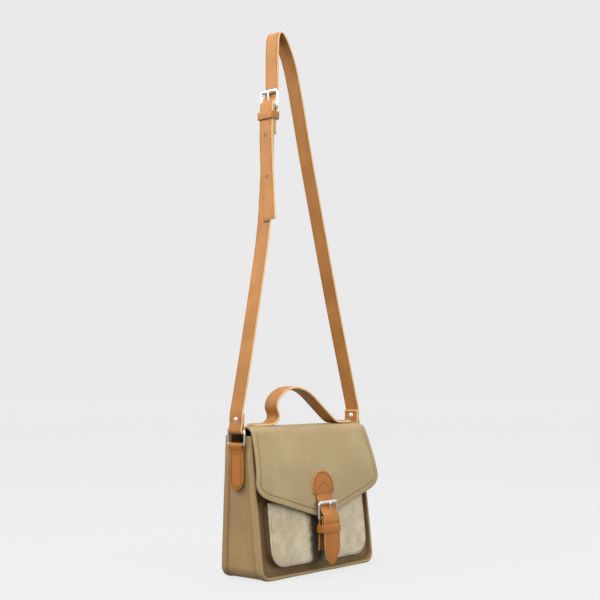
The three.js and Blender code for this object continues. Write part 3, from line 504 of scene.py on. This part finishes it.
def rolled(name, front, depth):  # a rounded, slightly crowned rim
    line = uLine(body["half"], body["corner"], 0.0002, body["top"] - 0.0005)
    loop = looped(roundBox(0.0022, depth / 2, 0.0020), 0.0008)[:-1]
    out = loop[None, :, 0] - 0.0024 + 0.0005 * (1 - (2 * loop[None, :, 1] / depth) ** 2)
    z = line[:, 1:2]
    middleY = frontY(z) + depth / 2 if front else backY(z) - depth / 2
    along = runOf(line)[:, None]
    ripple = 0.00025 * np.sin(along * 71 + 1) * np.sin(along * 23)
    out = out + ripple
    edge = depth / 2 - np.abs(loop[None, :, 1]) + 0 * out
    return uBand(name, line, out, middleY + loop[None, :, 1], {"edge": edge, "cut": 0 * out})


finished(rolled("frontRim", True, body["rimDepth"]), rimLeather, "flap_leather", "root", "front_rim")
finished(rolled("backRim", False, body["backDepth"]), sideLeather, "side_leather", "root", "back_rim")


def gussetSkin():
    # across from rim to rim: a shallow hollow, deepest low on the sides, with edges that turn down into the seams
    line = uLine(body["half"], body["corner"], 0.0002, 0.188)
    v = np.sin(np.linspace(-1, 1, 31) * np.pi / 2)[None]
    z = line[:, 1:2]
    side = 1 / (1 + np.exp(-(np.abs(line[:, 0:1]) - 0.121) / 0.0012))
    deep = 0.45 + 0.75 * np.exp(-((z - 0.070) / 0.045) ** 2) + 0.25 * np.exp(-((z - 0.15) / 0.03) ** 2)
    deep = deep + 1.4 * np.clip((z - 0.156) / 0.032, 0, 1) ** 2  # the mouth draws the side in
    soft = 0.35 * np.sin(z * 62 + 2.6 * v + 0.8) * np.sin(v * 2.1 + 0.4) * side
    crease = 0.5 * np.exp(-((v - 0.10 - 2.2 * (z - 0.07)) / 0.10) ** 2) * np.exp(-((z - 0.075) / 0.04) ** 2) * side
    hollow = body["sag"] * ((1 - v**2) * (deep * side + 0.12) + (soft + crease) * (1 - v**4))
    lip = 0.0011 * np.exp(-(1 - np.abs(v)) / 0.035)
    outer = -0.0004 - hollow - lip
    y0 = frontY(z) + body["rimDepth"] + 0.0001
    y1 = backY(z) - body["backDepth"] - 0.0001
    y = (y0 + y1) / 2 + v * (y1 - y0) / 2
    out = np.hstack([outer, outer[:, ::-1] - 0.0020])
    yAll = np.hstack([y, y[:, ::-1]])
    edge = np.minimum(y - y0, y1 - y)
    both = np.hstack([edge, edge[:, ::-1]])
    return uBand("gussetSkin", line, out, yAll, {"edge": both, "cut": 0 * both})


finished(gussetSkin(), sideLeather, "side_leather", "root", "gusset")


def uSheet(half, corner, foot, top, rows=60, columns=81):  # x and z over a sheet with two round lower corners
    turn = np.linspace(0, np.pi / 2, 14)
    z = np.concatenate([foot + corner * (1 - np.cos(turn)), np.linspace(foot + corner, top, rows)[1:]])[:, None]
    drop = np.clip(corner - (z - foot), 0, corner)
    wide = half - corner + np.sqrt(corner**2 - drop**2)
    return np.sin(np.linspace(-1, 1, columns) * np.pi / 2)[None] * wide, z + np.zeros((1, columns))


def fromLine(x, z, line):  # distance of each grid point from the nearest point of an outline
    line = evenly(line, 0.0012)
    return np.sqrt(((x[..., None] - line[:, 0]) ** 2 + (z[..., None] - line[:, 1]) ** 2).min(-1))


def panel(name, front):
    # a sheet that domes by a sine up its height, with slow waves and an edge that rolls down
    x, z = uSheet(*body["panel"], body["top"] - 0.001)
    edge = fromLine(x, z, uLine(*body["panel"], body["top"]))
    dome = (0.0006 if front else 0.0016) * (1 - (x / 0.1205) ** 2) * np.sin(np.clip(z / 0.19, 0, 1) * np.pi) ** 0.7
    soft = 0.0003 * np.sin(x * 40 + 1.3) * np.sin(z * 33 + 0.5)
    roll = 0.0009 * np.exp(-edge / 0.0016)
    rise = dome + soft - roll
    y = frontY(z) + 0.0068 - rise if front else backY(z) - 0.0036 + rise
    inner = y + 0.0022 if front else y - 0.0022
    values = {"edge": edge, "cut": 0 * edge}
    return slab(name, np.stack([x, y, z], -1), np.stack([x, inner, z], -1), values)


# the front panel's dark tone includes painted recess shade
finished(panel("frontPanel", True), panelLeatherAndRecessShade, "panel_leather", "root", "front_panel")
finished(panel("backPanel", False), sideLeather, "side_leather", "root", "back_panel")


def pouch():  # the cloth lining: rounded loops from the floor up the outside, over the lip and down the inside
    def loops(inset, z):
        corner = 0.0133 - inset
        drop = np.clip(corner - (z - 0.0052 - inset), 0, corner)
        wide = 0.1158 - inset - corner + np.sqrt(np.maximum(corner**2 - drop**2, 0))
        y0, y1 = frontY(z) + 0.0098 + inset, backY(z) - 0.0066 - inset
        ring = roundBox(1.0, 1.0, 0.16, 8)
        return np.stack([wide[:, None] * ring[None, :, 0], (y0 + y1)[:, None] / 2 + (y1 - y0)[:, None] / 2
                         * ring[None, :, 1], z[:, None] + 0 * ring[None, :, 0]], -1)
    high = 0.0052 + (0.186 - 0.0052) * np.linspace(0, 1, 50) ** 1.5
    outside, inside = loops(0.0, high), loops(0.0008, high[::-1])
    inside[..., 2] = np.maximum(inside[..., 2], 0.006)
    floorOut, floorIn = outside[:1].copy(), inside[-1:].copy()
    floorOut[..., :2] *= 0.02
    floorIn[..., :2] *= 0.02
    points = np.concatenate([floorOut, outside, inside, floorIn])
    return carried("liningPouch", points)


finished(pouch(), liningCloth, "lining", "root", "lining")
print("body done")

# Pocket: a slab of short-haired hide on a narrow gusset
pocketMiddle, pocketHalf = boxOf("pocket_face")
pocket = {"half": pocketHalf[0], "corner": 0.024, "foot": pocketMiddle[2] - pocketHalf[2],
          "top": pocketMiddle[2] + pocketHalf[2], "stand": 0.0052, "puff": 0.0013}


def pocketFace():  # a pillow that fills within 10 mm of its edge, with slow waves and a rolled rim
    x, z = uSheet(pocket["half"], pocket["corner"], pocket["foot"], pocket["top"], 50, 91)
    outline = np.vstack([uLine(pocket["half"], pocket["corner"], pocket["foot"], pocket["top"]),
                         [(-pocket["half"], pocket["top"])]])
    edge = fromLine(x, z, outline)
    puff = pocket["puff"] * (1 - np.exp(-edge / 0.010)) + 0.0004 * np.sin(x * 55) * np.sin(z * 70)
    roll = 0.0016 * np.exp(-edge / 0.0015)
    y = frontY(z) - pocket["stand"] - puff + roll
    values = {"edge": edge, "cut": 0 * edge}
    return slab("pocketFace", np.stack([x, y, z], -1), np.stack([x, np.maximum(y + 0.0012, frontY(z) -
                pocket["stand"] + 0.0020), z], -1), values)


def pocketBand():  # the narrow side of the pocket, drawn in by half a sine across its depth
    line = uLine(pocket["half"] - 0.001, 0.023, pocket["foot"] + 0.001, 0.102)
    z = line[:, 1:2]
    v = np.linspace(0, 1, 9)[None]
    y0, y1 = frontY(z) - pocket["stand"] + 0.0019, frontY(z) + 0.0066
    pinch = -0.0008 * np.sin(v * np.pi) + 0 * z
    out = np.hstack([pinch, pinch[:, ::-1] - 0.0014])
    y = np.hstack([y0 + (y1 - y0) * v, y0 + (y1 - y0) * v[:, ::-1]])
    return uBand("pocketBand", line, out, y, {"edge": 0 * y + 0.01, "cut": 0 * y})


finished(pocketFace(), hide, "hair_leather", "root", "pocket_face")
# the pocket band's dark tone includes painted shade under the pocket's edge
finished(pocketBand(), panelLeatherAndRecessShade, "panel_leather", "root", "pocket_gusset")
pocketEdge = uLine(pocket["half"] - 0.0026, 0.0214, pocket["foot"] + 0.0026, 0.101)
pocketSpots = np.column_stack([pocketEdge[:, 0], frontY(pocketEdge[:, 1]) - pocket["stand"] + 0.0001, pocketEdge[:, 1]])
finished(stitches("pocketStitches", pocketSpots, (0, -1, 0.115), pitch=0.0030, length=0.0016, width=0.0008),
         darkThread, "hair_leather", "root")
print("pocket done")

# Flap: one sheet over the mouth, curled at the back hinge and over the brow, ending in a shallow V
flap = {"backHalf": 0.1225, "browHalf": 0.127, "border": 0.0078,
        "line": mm((33.1, 202.4), (30.5, 205.9), (22.1, 209.3), (7.8, 210.5), (-6, 210.2), (-14.5, 209.0),
                   (-20.8, 203.5), (-27.0, 187.0), (-33.4, 166.1), (-38.0, 145.3), (-41.7, 112.6), (-43.9, 80))}
flapLine = smoothLine(flap["line"], 0.0014)
flapRun = runOf(flapLine)
flapOut = unit(np.gradient(flapLine, axis=0))[:, ::-1] * (1, -1)


def flapHalf():  # half width at each point of the flap's line: sides, round corners, then the V
    z, y = flapLine[:, 1], flapLine[:, 0]
    t = np.linspace(0, 1, 40)[:, None]
    corner = (1 - t) ** 2 * mm((136, 136)) + 2 * t * (1 - t) * mm((137.4, 118.8)) + t**2 * mm((108, 110))
    table = np.vstack([mm((7, 80), (108, 110)), corner[::-1][1:], mm((127, 200))])
    wide = np.interp(z, table[:, 1], table[:, 0])
    return np.where(y > -0.008, flap["backHalf"], np.where(z > 0.2, np.interp(y, [-0.022, -0.008], [
        flap["browHalf"], flap["backHalf"]]), wide))


def flapSheet(name, low, high, first=0.0, seam=True, narrow=0.0):
    # low and high are the distances of the two faces from the flap's line, along its outward direction
    keep = flapRun >= first
    line, out, run, half = flapLine[keep], flapOut[keep], flapRun[keep], flapHalf()[keep] - narrow
    u = np.linspace(-1, 1, 85)
    u = np.sign(u) * (1 - (1 - np.abs(u)) ** 1.25)
    x, s = u[None] * half[:, None], run[:, None] + 0 * u[None]
    outline = np.vstack([np.column_stack([-half, run]), np.column_stack([half, run])[::-1]])
    edge = fromLine(x, s, outline)
    soft = 0.0005 * np.sin(x * 47 + 0.6) * np.sin(s * 30 + 1) + 0.0003 * np.sin(x * 83 - s * 60)
    soft = soft * np.clip((s - 0.02) / 0.02, 0, 1)
    rise = 0.0005 * (1 - np.exp(-edge / 0.0014)) - 0.0005 * np.exp(-((edge - flap["border"]) / 0.0008) ** 2)
    top = high + soft + (rise if seam else 0)
    bottom = low + soft + 0 * x
    faces = [np.stack([x, line[:, None, 0] + out[:, None, 0] * d, line[:, None, 1] + out[:, None, 1] * d], -1)
             for d in (top, bottom)]
    return slab(name, *faces, {"edge": edge, "cut": 0 * edge})


flapSkin = flapSheet("flapSkin", -0.0009, 0.0009, 0.004)
finished(flapSkin, flapLeather, "flap_leather", None, "flap_top", "flap_front")
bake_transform(flapSkin)
flapLining = flapSheet("flapLining", -0.0019, -0.0010, 0.006, seam=False, narrow=0.0012)
finished(flapLining, liningCloth, "lining", None, "flap_top_lining", "flap_front_lining")
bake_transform(flapLining)


def hingeStrip():  # from the anchor inside the back, round the hinge and lapped under the flap
    line = smoothLine(mm((31.6, 176.5), (31.7, 190), (32.1, 199.5), (31.3, 203.6), (27.8, 205.6), (24, 206.6)), 0.0012)
    return strip("hingeStrip", inPlaneX(line), (1, 0, 0), 0.118, 0.0016, faceCount=25)


hingePiece = finished(hingeStrip(), flapLeather, "flap_leather", None, "flap_anchor")
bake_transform(hingePiece)


def flapSpot(s, x, lift):  # a point of the flap's outer face from its run and x
    at = sampled(s, flapRun, np.hstack([flapLine, flapOut]))
    return np.column_stack([x, at[:, 0] + at[:, 2] * lift, at[:, 1] + at[:, 3] * lift])


def inset(line, distance):  # an open line moved sideways by a distance
    ahead = unit(np.gradient(line, axis=0))
    return line + distance * np.column_stack([-ahead[:, 1], ahead[:, 0]])


borderLine = inset(evenly(np.vstack([np.column_stack([-flapHalf(), flapRun]), np.column_stack([flapHalf(), flapRun])[
    ::-1]])[12:-12], 0.002), -flap["border"])
borderLine = borderLine[(borderLine[:, 1] > 0.062)]
borderUp = np.column_stack([0 * borderLine[:, 0], sampled(borderLine[:, 1], flapRun, flapOut)])
flapStitch = stitches("flapStitches", flapSpot(borderLine[:, 1], borderLine[:, 0], 0.0011), borderUp)
finished(flapStitch, darkThread, "flap_leather", "flap_front")
print("flap done")

# Handle: one strap that lies flat at both ends and arches between them
handle = {"wide": 0.0125, "thick": 0.0034, "y": 0.005, "flat": 0.2134}
handleLine = smoothLine(mm((-104, 213.4), (-88, 213.4), (-74, 213.6), (-63, 215.4), (-55, 220.6), (-54.2, 228),
                           (-58.5, 239), (-53, 251.5), (-39, 261.5), (-22, 266.3), (-3, 264.6), (18, 256.2),
                           (48, 234.7), (70, 219.0),
                           (80, 214.2), (92, 213.4), (106, 213.4), (120, 213.4)), 0.0014)
handleRun = runOf(handleLine)


def roundEnds(run, wide):  # half width along a strap whose ends are half circles
    inEnd = np.clip(1 - np.minimum(run, run[-1] - run) / wide, 0, 1)
    return wide * np.sqrt(np.clip(1 - inEnd**2, 0.003, 1))


handlePiece = strip("handleStrap", inPlaneY(handleLine, handle["y"]), (0, 1, 0), roundEnds(handleRun, handle["wide"]),
                    handle["thick"], crown=0.0004, faceCount=13)
finished(handlePiece, strapLeather, "strap_leather", None, "handle", "handle_end_left", "handle_end_right")
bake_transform(handlePiece)
for side, centreX, turn in (("Left", -0.0915, 90), ("Right", 0.1075, -90)):
    reach, half = math.copysign(0.021, centreX), math.copysign(0.0095, turn)
    loop = looped(np.vstack([arc((centreX, handle["y"]), 0.0095, turn, turn + 180, 12), [
        (centreX - reach, handle["y"] - half), (centreX - reach, handle["y"] + half)]]), 0.001)
    crown = 0.0004 * (1 - ((loop[:, 1] - handle["y"]) / handle["wide"]) ** 2)
    finished(stitches(f"handleStitches{side}", np.column_stack([loop, handle["flat"] + 0.0018 + crown]), (0, 0, 1)),
             paleThread, "strap_leather", "flap_top")
print("handle done")

# Closure: patch and strap down the front, through a roller buckle and a keeper
closure = {"thick": 0.0024, "patch": 0.0235, "neck": 0.016, "billet": 0.017, "barY": -0.0525}
onFlap = flapLine[(flapLine[:, 1] < 0.147) & (flapLine[:, 1] > 0.1105)]
onFlapOut = flapOut[(flapLine[:, 1] < 0.147) & (flapLine[:, 1] > 0.1105)]
closureLine = smoothLine(np.vstack([(onFlap + onFlapOut * 0.0027)[::4], mm(
    (-47.3, 104), (-49.0, 98), (-53.4, 91), (-58.4, 83.5), (-60.3, 76), (-60.0, 68), (-60.9, 48), (-61.1, 30),
    (-60.7, 12))]), 0.0011)
closureRun = runOf(closureLine)


def closureHalf():  # arched patch, step in to the neck, billet and a pointed tip
    z = closureLine[:, 1]
    arch = closure["patch"] * np.sqrt(np.clip(1 - np.clip(1 - closureRun / closure["patch"], 0, 1) ** 2, 0.003, 1))
    step = 1 / (1 + np.exp(-(z - 0.1125) / 0.0007))
    straight = np.interp(z, [0.074, 0.080], [closure["billet"], closure["neck"]])
    fromTip = closureRun[-1] - closureRun
    ogive = closure["billet"] * np.sqrt(np.clip(1 - np.clip(1 - fromTip / 0.030, 0, 1) ** 2.0, 0.004, 1)) ** 1.35
    return np.minimum(straight + (arch - straight) * step, np.where(fromTip < 0.030, ogive, 1.0))


closurePiece = strip("closureStrap", inPlaneX(closureLine), (1, 0, 0), closureHalf(), closure["thick"], crown=0.0005,
                     faceCount=17)
finished(closurePiece, closureLeather, "strap_leather", "flap_front", "closure_strap")


def closureSpot(z, x, lift):  # a point on the closure strap's outer face
    down = closureLine[::-1]
    out = (unit(np.gradient(closureLine, axis=0))[:, ::-1] * (1, -1))[::-1]
    at = sampled(z, down[:, 1], np.hstack([down, out]))
    return np.column_stack([x, at[:, 0] + at[:, 2] * lift, at[:, 1] + at[:, 3] * lift])


patchTop = closureLine[0, 1]
patchLoop = np.vstack([[(-0.0202, 0.1150)], arc((0, patchTop - 0.0233), 0.0202, 180, 0, 30), [(0.0202, 0.1150)]])
patchLoop = evenly(patchLoop, 0.001)
chevron = evenly(mm((-15.5, 117.5), (0, 130.5), (15.5, 117.5)), 0.001)
patchFoot = evenly(mm((-19.5, 113.4), (19.5, 113.4)), 0.001)
for label, loop in (("Border", patchLoop), ("Chevron", chevron), ("Foot", patchFoot)):
    lift = 0.0013 + 0.00045 * (1 - (loop[:, 0] / closure["patch"]) ** 2)
    finished(stitches(f"patchStitches{label}", closureSpot(loop[:, 1], loop[:, 0], lift), (0, -1, 0.09)), orangeThread,
             "strap_leather", "flap_front")


def wireFrame(name, corner, wire, wayA, wayB, rider, replaced):  # a closed rectangle of wire, as large as the part
    centre, half = boxOf(replaced)
    loop = roundBox(half @ np.abs(wayA) - wire / 2, half @ np.abs(wayB) - wire / 2, corner)
    loop = looped(loop, 0.0007)[:-1]
    wayA, wayB = np.asarray(wayA, float), np.asarray(wayB, float)
    line = centre + loop[:, :1] * wayA + loop[:, 1:] * wayB
    piece = tube(name, line, np.cross(wayA, wayB), wire / 2, closed=True, sides=18)
    return finished(piece, silver, "hardware", rider, replaced)


def roller(name, axis, rider, replaced):  # a thin rolled tube with turned-in ends
    centre, half = boxOf(replaced)
    halfLong = half @ np.asarray(axis)
    wall = mm((1.9, -0.2), (2.5, -0.25), (3.0, -0.15), (3.24, 0.25), (3.24, 0.9))
    profile = np.vstack([wall * (1, 1) - (0, halfLong - 0.00025), (wall[::-1] * (1, -1)) + (0, halfLong - 0.00025)])
    inner = np.array([(0.0019, halfLong * 0.6), (0.0019, -halfLong * 0.6)])
    return finished(turned(name, np.vstack([profile, inner]), centre, axis, closed=True, sides=36), silver, "hardware",
                    rider, replaced)


def band(name, loop, axis, halfHigh, thick, material, slot, rider, replaced):  # a flat strip closed into a loop
    loop = looped(loop, 0.0012)[:-1]
    section = roundBox(halfHigh, thick / 2, thick * 0.42, 4)
    axis = np.asarray(axis, float)
    ahead = unit(np.roll(loop, -1, 0) - np.roll(loop, 1, 0))
    out = np.cross(ahead, axis)
    points = loop[:, None] + section[None, :, :1] * axis + section[None, :, 1:] * out[:, None]
    edge = halfHigh - np.abs(section[None, :, 0]) + np.zeros((len(loop), 1))
    return finished(carried(name, points, closedLine=True, values={
        "edge": edge, "cut": (edge < 0.0003) * 1.0}), material, slot, rider, replaced)


wireFrame("closureBuckle", 0.003, 0.0032, (1, 0, 0), (0, 0, 1), "flap_front", "closure_buckle")
roller("closureRoller", (1, 0, 0), "closure_roller", "closure_roller")
closureBar = np.array((closure["barY"], 0.078))
prongLine = evenly(np.vstack([arc(closureBar, 0.0029, -60, -215, 14),
                              mm((-56.4, 84), (-57.4, 92), (-57.5, 99), (-57.2, 103.6))]), 0.0006)
tube("closureProng", inPlaneX(prongLine), (1, 0, 0), np.interp(runOf(prongLine)[::-1], [0, 0.002, 0.006], [
    0.0006, 0.0010, 0.0012]))
finished(bpy.data.objects["closureProng"], silver, "hardware", "closure_prong", "closure_prong")
chapeLine = smoothLine(np.vstack([mm((-54.5, 58), (-55.9, 70)), arc(closureBar, 0.0034, 190, 0, 9), mm(
    (-49.4, 70), (-49.1, 58), (-48.7, 45), (-48.5, 33))]), 0.001)
finished(strip("closureChape", inPlaneX(chapeLine), (1, 0, 0), 0.0155, 0.0020, faceCount=11), closureLeather,
         "strap_leather", "flap_front", "closure_chape")
keeperLoop = roundBox(0.0191, 0.0083, 0.0055)
band("closureKeeper", np.column_stack([keeperLoop[:, 0], keeperLoop[:, 1] - 0.05465, np.full(len(keeperLoop), 0.064)]),
     (0, 0, 1), 0.0055, 0.0018, closureLeather, "strap_leather", "flap_front", "closure_keeper")
print("closure done")


# Side tabs and rings
def mirrored(points, sign):  # a line drawn for the right side, placed on either side
    return np.asarray(points) * (sign, 1)


tabArc = arc((0.1294, 0.186), 0.0031, 180, -20, 12)
tabLine = evenly(np.vstack([mm((126.3, 126)), mm((126.3, 178)), tabArc, mm((129.2, 178), (128.6, 174), (128.6, 124))]),
                 0.0011)
endLine = np.vstack([mm((126.8, 230.8), (127.6, 226.5), (127.6, 217.3), (127.4, 213.8)),
                     arc((0.1294, 0.2068), 0.0036, 160, 380, 15),
                     mm((131.3, 215.8), (130.9, 217.3), (130.9, 226.5), (129.9, 233.8))])
for side, sign in (("Left", -1), ("Right", 1)):
    lower = side.lower()
    line = mirrored(tabLine, sign)
    run = runOf(line)
    half = np.interp(run, [0, 0.050, 0.056, 0.066, 0.072, run[-1]], [0.0124, 0.0124, 0.0136, 0.0136, 0.0124, 0.0124])
    half = np.minimum(half, roundEnds(run, 0.0124) + 0.0012 * (run > 0.03) * (run < run[-1] - 0.03))
    finished(strip(f"sideTab{side}", inPlaneY(line, 0.006), (0, 1, 0), half, 0.0020, crown=0.0003, faceCount=11),
             closureLeather, "strap_leather", "root", f"side_tab_{lower}")
    around = np.vstack([arc((0.006, 0.1364), 0.0094, 180, 360, 16), [(0.0154, 0.1745), (-0.0034, 0.1745)]])
    around = looped(around, 0.001)
    finished(stitches(f"tabStitches{side}", np.column_stack([np.full(len(around), sign * 0.1298), around]),
                      (sign, 0, 0)), orangeThread, "strap_leather", "root")
    wireFrame(f"ring{side}", 0.0042, 0.0032, (0, 1, 0), (0, 0, 1), f"ring_{lower}", f"ring_{lower}")
    rivetMiddle = boxOf(f"rivet_{lower}")[0]
    inner, outer = 0.1259, 0.1324
    cap = mm((0, 1.5), (1.6, 1.4), (3.0, 0.95), (3.9, 0.4), (4.2, 0.05), (4.0, 0.0))
    profile = np.vstack([cap * (1, -0.7) + (0, inner), cap[::-1] + (0, outer)])
    profile[0, 0] = profile[-1, 0] = 1e-5
    finished(turned(f"rivet{side}", profile, (0, *rivetMiddle[1:]), (sign, 0, 0), sides=32), silver, "hardware",
             f"ring_{lower}", f"rivet_{lower}")
print("rings done")

# Shoulder strap: short strap with the buckle, long strap over the top and down through it
strap = {"wide": 0.01275, "thick": 0.0030, "y": 0.005, "bar": (-0.063, 0.676)}
shortLine = np.vstack([smoothLine(mm((-129.9, 233.8), (-124, 258), (-104, 350), (-78, 480), (-70, 560), (-67, 640),
                                     (-66.6, 673)), 0.003), arc(strap["bar"], 0.0036, 180, 15, 14)[1:],
                       smoothLine(mm((-59.7, 673.5), (-62, 669), (-62.6, 662), (-62.8, 648), (-62.8, 636)), 0.003)])
shortOuter = shortLine[(runOf(shortLine) < runOf(shortLine)[np.argmax(shortLine[:, 1])])]
beside = inset(shortOuter, 0.0033)[::-1]
beside = beside[(beside[:, 1] < 0.672) & (beside[:, 1] > 0.494)]
longLine = smoothLine(np.vstack([mm((129.9, 233.8), (122, 260), (80, 397), (40, 537), (17, 619), (-4, 700), (-19, 748),
                                    (-34, 776), (-43, 787), (-49.5, 790.5), (-54.5, 786), (-57, 772), (-57.6, 746),
                                    (-57.6, 713), (-57.8, 701), (-61.5, 691), (-68.6, 682)), beside[::6]]), 0.0024)


def splitAt(line, z):  # the part of a strap line above a height, which begins there
    first = np.argmax(line[:, 1] > z)
    return line[first:], line[:first + 1]


shortMain, shortFoot = splitAt(shortLine, 0.2450)
longMain, longFoot = splitAt(longLine, 0.2450)


def strapY(line):  # the free end leans forwards as it hangs
    fall = np.clip((0.640 - line[:, 1]) / 0.146, 0, 1)
    free = np.arange(len(line)) > np.argmax(line[:, 1])
    return strap["y"] - 0.015 * fall**1.5 * free


for name, line, y, solid in (("shortStrap", shortMain, strap["y"], "short_strap"),
                             ("longStrap", longMain, strapY(longMain), "long_strap")):
    piece = strip(name, inPlaneY(line, y), (0, 1, 0), strap["wide"], strap["thick"], crown=0.0003, faceCount=11,
                  openEnds=(True, False))
    finished(piece, strapLeather, "strap_leather", None, solid)
    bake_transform(piece)
for side, sign, foot in (("Left", -1, shortFoot), ("Right", 1, longFoot)):
    line = evenly(np.vstack([mirrored(endLine[:-1], sign), foot]), 0.0011)
    piece = strip(f"strapEnd{side}", inPlaneY(line, strap["y"]), (0, 1, 0), strap["wide"], strap["thick"],
                  crown=0.0003, faceCount=11, openEnds=(False, True))
    finished(piece, strapLeather, "strap_leather", None)
    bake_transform(piece)


def punched(name, line, y, z, back):  # a shallow dimple with a raised lip, one on each face of the strap, its dark tone painted shade standing for the inside of a punched hole
    start = np.argmax(line[:, 1]) if back else 0
    k = start + np.argmin(np.abs(line[start:, 1] - z))
    ahead = unit(line[k + 1] - line[k - 1])
    out = np.array((-ahead[1], 0, ahead[0]))
    spot = np.array((line[k, 0], np.broadcast_to(y, len(line))[k], line[k, 1]))
    profile = mm((0.01, -0.9), (1.3, -0.8), (1.75, 0.0), (2.1, 0.24), (2.5, 0.18), (2.6, -0.3), (0.01, -1.0))
    for label, way in (("Out", 1), ("In", -1)):
        finished(turned(name + label, profile, spot + out * way * 0.00155, out * way, closed=False, sides=20),
                 paintedHoleShade, "strap_leather", "strap")


for k, z in enumerate((0.634, 0.572)):
    punched(f"strapHole{k}", longMain, strapY(longMain), z, True)
wireFrame("strapBuckle", 0.003, 0.0032, (0, 1, 0), (0, 0, 1), "strap", "strap_buckle")
roller("strapRoller", (0, 1, 0), "strap_roller", "strap_roller")
strapKeeper = roundBox(0.0082, 0.0146, 0.0028)
band("strapKeeper", np.column_stack([strapKeeper[:, 0] - 0.0656, strapKeeper[:, 1] + 0.005,
                                     np.full(len(strapKeeper), 0.664)]), (0, 0, 1), 0.0055, 0.0018, strapLeather,
     "strap_leather", "strap", "strap_keeper")
print("strap done")

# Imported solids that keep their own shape
finishOf = {"base_board": boardFibre, "snap_socket": silver, "snap_stud": silver, "strap_prong": silver}
for name, material in finishOf.items():
    solid = bpy.data.objects[name]
    solid.data.materials.clear()
    solid.data.materials.append(material)

# Floor, backdrop and light
studio = {"glow": 0.905, "key": 19.0, "edge": 6.5, "fill": 21.0, "top": 20.0}
ringOf, turnOf = np.meshgrid(np.linspace(0.001, 1, 12) ** 2 * 14, np.linspace(0, 2 * np.pi, 49)[:-1], indexing="ij")
disc = np.stack([ringOf * np.cos(turnOf), ringOf * np.sin(turnOf), 0 * ringOf - 0.0004], -1)
floor = makePiece("studioFloor", disc, gridFaces(np.arange(disc[..., 0].size).reshape(disc.shape[:2]), around=True),
                  sharp=180)
if floor.data.polygons[0].normal.z < 0:
    floor.data.flip_normals()
floorPaint = newMaterial("floorPaint", **{"Roughness": 0.95, "Emission Color": (0.82, 0.82, 0.82, 1),
                                          "Specular IOR Level": 0.1})
floorTree = floorPaint.node_tree
tone = node(floorTree, "TexNoise", None, Vector=place(floorTree), Scale=1.5).outputs[0]
floorTree.links.new(blended(floorTree, tone, (0.06, 0.06, 0.06, 1), (0.065, 0.065, 0.065, 1)),
                    floorTree.nodes["Principled BSDF"].inputs["Base Color"])
seen = node(floorTree, "LightPath").outputs["Is Camera Ray"]  # the floor throws less light up than it shows
floorTree.links.new(maths(floorTree, "MULTIPLY", studio["glow"], maths(floorTree, "ADD", 0.3, maths(
    floorTree, "MULTIPLY", seen, 0.7))), floorTree.nodes["Principled BSDF"].inputs["Emission Strength"])
floor.data.materials.append(floorPaint)
world = bpy.data.worlds.new("studioWorld")
world.use_nodes = True
world.node_tree.nodes["Background"].inputs[0].default_value = (0.82, 0.82, 0.82, 1)
world.node_tree.nodes["Background"].inputs[1].default_value = 1.0
scene.world = world


def lamp(name, spot, aim, size, power, tone=(1, 1, 1)):
    data = bpy.data.lights.new(name, "AREA")
    data.energy, data.size, data.color = power, size, tone
    light = bpy.data.objects.new(name, data)
    light.location = spot
    light.rotation_euler = (Vector(aim) - Vector(spot)).to_track_quat("-Z", "Y").to_euler()
    light.visible_camera = False
    scene.collection.objects.link(light)


lamp("keyLight", (-1.6, -0.5, 1.5), (0, 0, 0.3), 1.2, studio["key"])
lamp("fillLight", (0.5, -2.0, 0.9), (0, 0, 0.25), 1.6, studio["fill"])
lamp("edgeLight", (-0.72, 0.40, 1.02), (-0.06, 0, 0.68), 0.45, studio["edge"])
lamp("topLight", (0.2, 0.1, 2.2), (0, 0, 0.2), 1.4, studio["top"])
